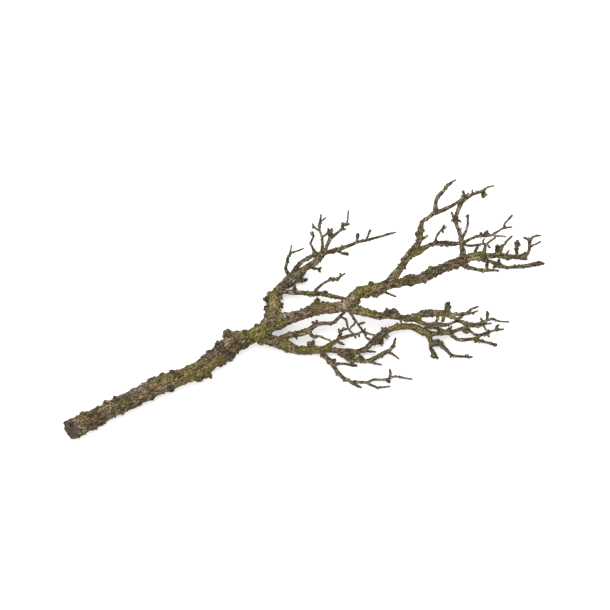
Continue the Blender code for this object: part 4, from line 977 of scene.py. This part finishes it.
    def skin(self, name: str, seed: int) -> bpy.types.Object:
        """Make one limb's skin.

        Args:
            name: the limb.
            seed: seed of its lumps.

        Returns:
            The piece.
        """
        build = LIMBS[name]
        piece = new_object(name + "_bark", self.over_the_forks(name))
        paint(piece.data, "girth", half_thickness(piece.data))
        paint(piece.data, "clump", near_marks(corners(piece.data), CLUMPS))
        self.lumps.run(piece, {"Lumps per square metre": build.lumps * 1e4,
                               "Smallest lump": build.lump_low * MM, "Largest lump": build.lump_high * MM,
                               "Seed": seed})
        remesh = piece.modifiers.new("Skin", "REMESH")
        remesh.mode = "VOXEL"
        remesh.voxel_size = build.voxel * MM
        keep_result(piece)
        rounded(piece.data, build.passes)
        fewer = piece.modifiers.new("Fewer faces", "DECIMATE")
        fewer.ratio = build.kept
        keep_result(piece)
        mesh = piece.data
        girth = half_thickness(mesh)
        paint(mesh, "girth", girth)
        places = corners(mesh)
        move_corners(mesh, reshaped(places, outwards(mesh), girth))
        spread = places - places.mean(axis=0)
        grain = np.linalg.eigh(spread.T @ spread)[1][:, 2]
        self.relief.run(piece, {"Relief": build.relief, "Grain": tuple(float(part) for part in grain)})
        self.paint_growth(name, piece.data)
        piece.data.materials.clear()
        piece.data.materials.append(self.material)
        smooth(piece.data)
        hold_to_floor(piece.data)
        return piece

    def paint_growth(self, name: str, mesh: bpy.types.Mesh) -> None:
        """Paint each kind of growth, the height above the solid limb and the cut end.

        Args:
            name: the limb.
            mesh: its skin.
        """
        places = corners(mesh)
        up = np.clip(outwards(mesh)[:, 2] * 0.8 + 0.75, 0.15, 1.0)
        for growth, patches in PATCHES.items():
            cover = near_marks(places, patches)
            paint(mesh, growth.value, cover * up if growth is Growth.MOSS else cover)
        paint(mesh, "clump", near_marks(places, CLUMPS))
        tree = self.trees[name]
        above = np.zeros(len(places))
        for index, place in enumerate(places * MM):
            near, normal, _, distance = tree.find_nearest(Vector(place), self.search * MM)
            if near is not None:
                above[index] = math.copysign(distance / MM, (Vector(place) - near).dot(normal))
        relief = np.empty(len(places), np.float32)
        mesh.attributes["relief"].data.foreach_get("value", relief)
        # The bark material darkens its colour where this height is low and lightens it where it is high:
        # painted shade in hollows and painted light on crests.
        paint(mesh, "rise", np.clip(0.35 + above * 0.22, 0.0, 1.0) * 0.4 + relief * 0.6)
        if name == "trunk":
            CutEnd().paint_on(mesh)


def hold_to_floor(mesh: bpy.types.Mesh) -> None:
    """Press what would reach below the surface onto it.

    Args:
        mesh: the mesh to change.
    """
    places = corners(mesh)
    places[:, 2] = np.maximum(places[:, 2], 0.0)
    move_corners(mesh, places)


def grown_shape(name: str, places: list, faces: list, edge: list) -> bpy.types.Mesh:
    """Make a small shape's mesh, painted with how near each corner is to its edge or tip.

    Args:
        name: the mesh's name.
        places: its corners.
        faces: its faces.
        edge: from 0 at the heart to 1 at the edge or tip.

    Returns:
        The mesh.
    """
    mesh = bpy.data.meshes.new(name)
    mesh.from_pydata(places, [], faces)
    paint(mesh, "edge", np.array(edge))
    return mesh


# A lobe's rim from one notch to the next: share of its width, reach, lift and paleness.
LOBE_RIM = ((0.0, 0.62, 0.15, 0.3), (0.20, 0.92, 0.7, 0.9), (0.5, 0.98, 1.0, 1.0), (0.80, 0.90, 0.6, 0.9))


def lobe_shape(seed: int) -> bpy.types.Mesh:
    """Make one leafy lichen rosette of radius 1 that lies on the z plane.

    Args:
        seed: seed of its outline.

    Returns:
        The mesh, closed.
    """
    draw = np.random.default_rng(seed)
    lobes = int(draw.integers(4, 7))
    places, edge = [(0.0, 0.0, 0.10), (0.0, 0.0, -0.35)], [0.05, 0.0]
    starts = (np.arange(lobes) + draw.uniform(-0.18, 0.18, lobes)) / lobes
    for index in range(lobes):
        start = starts[index]
        width = (starts[(index + 1) % lobes] - start) % 1.0
        reach, lift = draw.uniform(0.58, 1.22), draw.uniform(-0.05, 0.6)
        for share, out, up, pale in LOBE_RIM:
            angle = math.tau * (start + share * width)
            far = reach * out + draw.uniform(-0.13, 0.09)
            raised = lift * up + draw.uniform(-0.05, 0.08)
            places.append((far * math.cos(angle), far * math.sin(angle), raised))
            edge.append(pale)
    hearts = len(places)
    for index in range(lobes):
        angle = math.tau * (starts[index] + 0.5 * ((starts[(index + 1) % lobes] - starts[index]) % 1.0))
        places.append((0.5 * math.cos(angle), 0.5 * math.sin(angle), 0.30 + draw.uniform(-0.06, 0.12)))
        edge.append(0.5)
    faces = []
    for index in range(lobes):
        notch, heart = 2 + 4 * index, hearts + index
        rim = [notch, notch + 1, notch + 2, notch + 3, 2 + 4 * ((index + 1) % lobes)]
        for first, second in zip(rim, rim[1:]):
            faces += [(heart, first, second), (1, second, first)]
        faces += [(0, notch, heart), (0, heart, rim[-1])]
    return grown_shape(f"lobe_{seed}", places, faces, edge)


BLADES_IN_TUFT = 6
ROOT_DEPTH = -0.25


def tuft_shape(seed: int) -> bpy.types.Mesh:
    """Make one tuft of moss blades of height 1 that stands on the z plane.

    Args:
        seed: seed of its blades.

    Returns:
        The mesh, in which each blade is closed.
    """
    draw = np.random.default_rng(seed)
    places, faces, edge = [], [], []
    for _ in range(BLADES_IN_TUFT):
        foot = draw.uniform(-0.45, 0.45, 2)
        lean = foot * 1.1 + draw.uniform(-0.22, 0.22, 2)
        height, width, turn = draw.uniform(0.55, 1.05), draw.uniform(0.10, 0.17), draw.uniform(0, math.tau)
        base = len(places)
        for corner in range(3):
            angle = turn + math.tau * corner / 3
            places.append((foot[0] + width * math.cos(angle), foot[1] + width * math.sin(angle), ROOT_DEPTH))
        places.append((foot[0] + lean[0], foot[1] + lean[1], height))
        edge += [0.0, 0.0, 0.0, 1.0]
        faces += [(base, base + 2, base + 1), (base, base + 1, base + 3), (base + 1, base + 2, base + 3),
                  (base + 2, base, base + 3)]
    return grown_shape(f"tuft_{seed}", places, faces, edge)


def grain_shape(seed: int) -> bpy.types.Mesh:
    """Make one lichen grain of radius 1.

    Args:
        seed: seed of its dents.

    Returns:
        The mesh, closed.
    """
    draw = np.random.default_rng(seed)
    ball = bmesh.new()
    bmesh.ops.create_icosphere(ball, subdivisions=1, radius=1.0)
    for corner in ball.verts:
        corner.co = corner.co * float(draw.uniform(0.72, 1.2))
        corner.co.z *= 0.8
    mesh = bpy.data.meshes.new(f"grain_{seed}")
    ball.to_mesh(mesh)
    ball.free()
    paint(mesh, "edge", np.full(len(mesh.vertices), 0.5))
    return mesh


FULLEST = 1.6                  # the most that all kinds of cover add up to
MODELS = 4                     # different shapes of each kind


@dataclass(frozen=True)
class Sowing:
    """One kind of growth that stands on the skins in separate shapes."""
    name: str
    finish: GrowthFinish
    shape: Callable[[int], bpy.types.Mesh]
    per_metre: float           # shapes on each square metre where the cover is full
    low: float
    high: float
    tilt: float
    cover: "tuple[tuple[str, float], ...]"     # painted attributes and their shares
    anywhere: float            # share of the cover that is everywhere
    patchiness: float          # share that comes in patches of their own

    def tree(self) -> GeometryTree:
        """Build the tree that sows it over a collection of skins.

        Returns:
            The tree.
        """
        tree = GeometryTree("sow_" + self.name, {
            "Limbs": "Collection", "Shapes": "Collection", "Shapes per square metre": "Float",
            "Smallest": "Float", "Largest": "Float", "Tilt": "Float", "Seed": "Int", "Finish": "Material"})
        given = tree.given
        limbs = tree.add("GeometryNodeCollectionInfo", {"transform_space": "ORIGINAL"},
                         {"Collection": given["Limbs"]})
        skins = tree.add("GeometryNodeRealizeInstances", None, {0: limbs})
        place = tree.add("GeometryNodeInputPosition")
        patch = tree.ease(tree.noise(place, 9.0, 3.0, 0.6), 0.53, 0.66)
        cover = patch * self.patchiness + self.anywhere
        for name, share in self.cover:
            cover = cover + tree.named(name) * share
        up = tree.add("ShaderNodeSeparateXYZ", None, {0: tree.add("GeometryNodeInputNormal")}, "Z")
        cover = cover * (up * 0.3 + 0.7) * (1.0 - tree.named("cut"))
        scatter = tree.add("GeometryNodeDistributePointsOnFaces", None,
                           {"Mesh": skins, "Density": cover.least(FULLEST) * given["Shapes per square metre"],
                            "Seed": given["Seed"]}, "Points")
        facing = Socket(tree, scatter.link.node.outputs["Rotation"])
        lean = tree.vector("MULTIPLY", tree.random((-1.0, -1.0, 0.0), (1.0, 1.0, 6.28), 21),
                           tree.joined(given["Tilt"], given["Tilt"], 1.0))
        facing = tree.add("FunctionNodeRotateRotation", {"rotation_space": "LOCAL"}, {
            0: facing, 1: tree.add("FunctionNodeEulerToRotation", None, {0: lean})})
        size = tree.random(0.0, 1.0, 22) ** 1.6
        size = given["Smallest"] + size * (given["Largest"] - given["Smallest"])
        size = size.least(tree.named("girth") * (0.6 * MM) + 0.55 * MM)
        shapes = tree.add("GeometryNodeCollectionInfo", {"transform_space": "ORIGINAL"}, {
            "Collection": given["Shapes"], "Separate Children": True, "Reset Children": True})
        stood = tree.add("GeometryNodeInstanceOnPoints", None, {
            "Points": scatter, "Instance": shapes, "Pick Instance": True, "Rotation": facing,
            "Scale": tree.scaled(tree.random((0.8, 0.8, 0.8), (1.2, 1.2, 1.2), 23), size)})
        toned = tree.store(stood, "tone", tree.random(0.0, 1.0, 24), domain="INSTANCE")
        real = tree.add("GeometryNodeRealizeInstances", None, {0: toned})
        tree.end(tree.add("GeometryNodeSetMaterial", None, {"Geometry": real, "Material": given["Finish"]}))
        return tree

    def sow(self, tree: GeometryTree, material: bpy.types.Material, title: str,
            limbs: bpy.types.Collection, seed: int) -> bpy.types.Object:
        """Sow it over some limbs.

        Args:
            tree: its node tree.
            material: its material.
            title: start of the piece's name.
            limbs: the skins.
            seed: seed of the places.

        Returns:
            The piece.
        """
        shapes = bpy.data.collections.new(self.name + "_shapes")
        bpy.context.scene.collection.children.link(shapes)
        models = [bpy.data.objects.new(f"{self.name}_{index}", self.shape(index)) for index in range(MODELS)]
        for model in models:
            shapes.objects.link(model)
        piece = new_object(f"{title}_{self.name}", bpy.data.meshes.new(self.name))
        tree.run(piece, {"Limbs": limbs, "Shapes": shapes, "Shapes per square metre": self.per_metre,
                         "Smallest": self.low * MM, "Largest": self.high * MM, "Tilt": self.tilt,
                         "Seed": seed, "Finish": material})
        for model in models:
            bpy.data.objects.remove(model)
        bpy.data.collections.remove(shapes)
        smooth(piece.data)
        hold_to_floor(piece.data)
        return piece


SOWINGS = (
    Sowing("lobes", LOBES, lobe_shape, 1.5e5, 0.4, 1.9, 0.4, (("clump", 1.2), ("crust", 0.4)), 0.02, 0.12),
    Sowing("moss", BLADES, tuft_shape, 8.0e5, 0.45, 1.15, 0.35, (("moss", 1.0),), 0.0, 0.05),
    Sowing("grains", GRAINS, grain_shape, 1.5e5, 0.2, 0.5, 0.4, (("clump", 0.4),), 0.35, 0.5),
)


@dataclass(frozen=True)
class Studio:
    """The pale floor, the soft light and the camera over the twig."""
    floor_half: float = 3000.0
    floor_colour: tuple = (0.93, 0.93, 0.925)
    view_middle: tuple = (3.0, 4.8)
    view_width: float = 732.0
    camera_height: float = 1500.0
    glow: float = 0.30
    sky: float = 0.98
    key_power: float = 28.0
    key_place: tuple = (-200.0, 800.0, 1700.0)
    key_size: float = 1300.0

    def floor(self) -> None:
        """Lay the floor, which glows a little so that shadows stay as soft as on a white table."""
        half = self.floor_half * MM
        mesh = bpy.data.meshes.new("floor")
        mesh.from_pydata([(-half, -half, 0), (half, -half, 0), (half, half, 0), (-half, half, 0)], [],
                         [(0, 1, 2, 3)])
        floor = new_object("floor", mesh)
        finish = Finish("studio_floor")
        shade = finish.make.noise(finish.place, 900.0, 1.0)
        colour = finish.make.mix(shade * 0.2, self.floor_colour, (0.90, 0.90, 0.895))
        mesh.materials.append(finish.close(colour, shade * 0.05 + 0.9, shade, 0.01))
        finish.surface.inputs["Emission Color"].default_value = (1.0, 1.0, 1.0, 1.0)
        finish.surface.inputs["Emission Strength"].default_value = self.glow

    def light(self) -> None:
        """Hang one large soft light behind the twig and fill from the whole sky."""
        world = bpy.data.worlds.new("soft_sky")
        bpy.context.scene.world = world
        world.use_nodes = True
        background = world.node_tree.nodes["Background"]
        background.inputs["Color"].default_value = (1.0, 1.0, 1.0, 1.0)
        background.inputs["Strength"].default_value = self.sky
        lamp = bpy.data.lights.new("key_light", "AREA")
        lamp.shape = "SQUARE"
        lamp.size = self.key_size * MM
        lamp.energy = self.key_power
        key = new_object("key_light", lamp)
        key.location = Vector(self.key_place) * MM
        key.rotation_euler = (-key.location).to_track_quat("-Z", "Y").to_euler()

    def camera(self) -> None:
        """Look straight down on the twig."""
        lens = bpy.data.cameras.new("camera")
        lens.type = "ORTHO"
        lens.ortho_scale = self.view_width * MM
        camera = new_object("camera", lens)
        camera.location = Vector((*self.view_middle, self.camera_height)) * MM
        lens.clip_start, lens.clip_end = 0.01, 10.0
        bpy.context.scene.camera = camera
        bpy.context.scene.view_settings.view_transform = "Standard"


def hand_over(piece: bpy.types.Object, slot: str, *nodes: str) -> None:
    """Attach a finished piece to the twig's body, hide the frame's nodes that it stands for and log its
    triangles.

    Args:
        piece: the piece.
        slot: the record's slot for its finish; not used.
        nodes: the frame's nodes that it stands for.
    """
    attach(piece, BODY)
    if nodes:
        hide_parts(*nodes)
    log.info("%s: %d triangles", piece.name, sum(len(face.vertices) - 2 for face in piece.data.polygons))


def main() -> None:
    """Build the pieces in order."""
    logging.basicConfig(level=logging.INFO, format="%(message)s")
    studio = Studio()
    studio.floor()
    studio.light()
    studio.camera()
    limbs = Limbs()
    slots = {entry["node"]: entry["material_slot"] for entry in frame["record"]["subparts"]}
    groups = {slot: bpy.data.collections.new(slot + "_skins") for slot in sorted(set(slots.values()))}
    for seed, name in enumerate(LIMBS):
        piece = limbs.skin(name, seed)
        groups[slots[name]].objects.link(piece)
        hand_over(piece, slots[name], name)
    for sowing in SOWINGS:
        tree, material = sowing.tree(), sowing.finish.material()
        for seed, (slot, group) in enumerate(groups.items()):
            hand_over(sowing.sow(tree, material, slot, group, seed), slot)


if __name__ == "__main__":
    main()
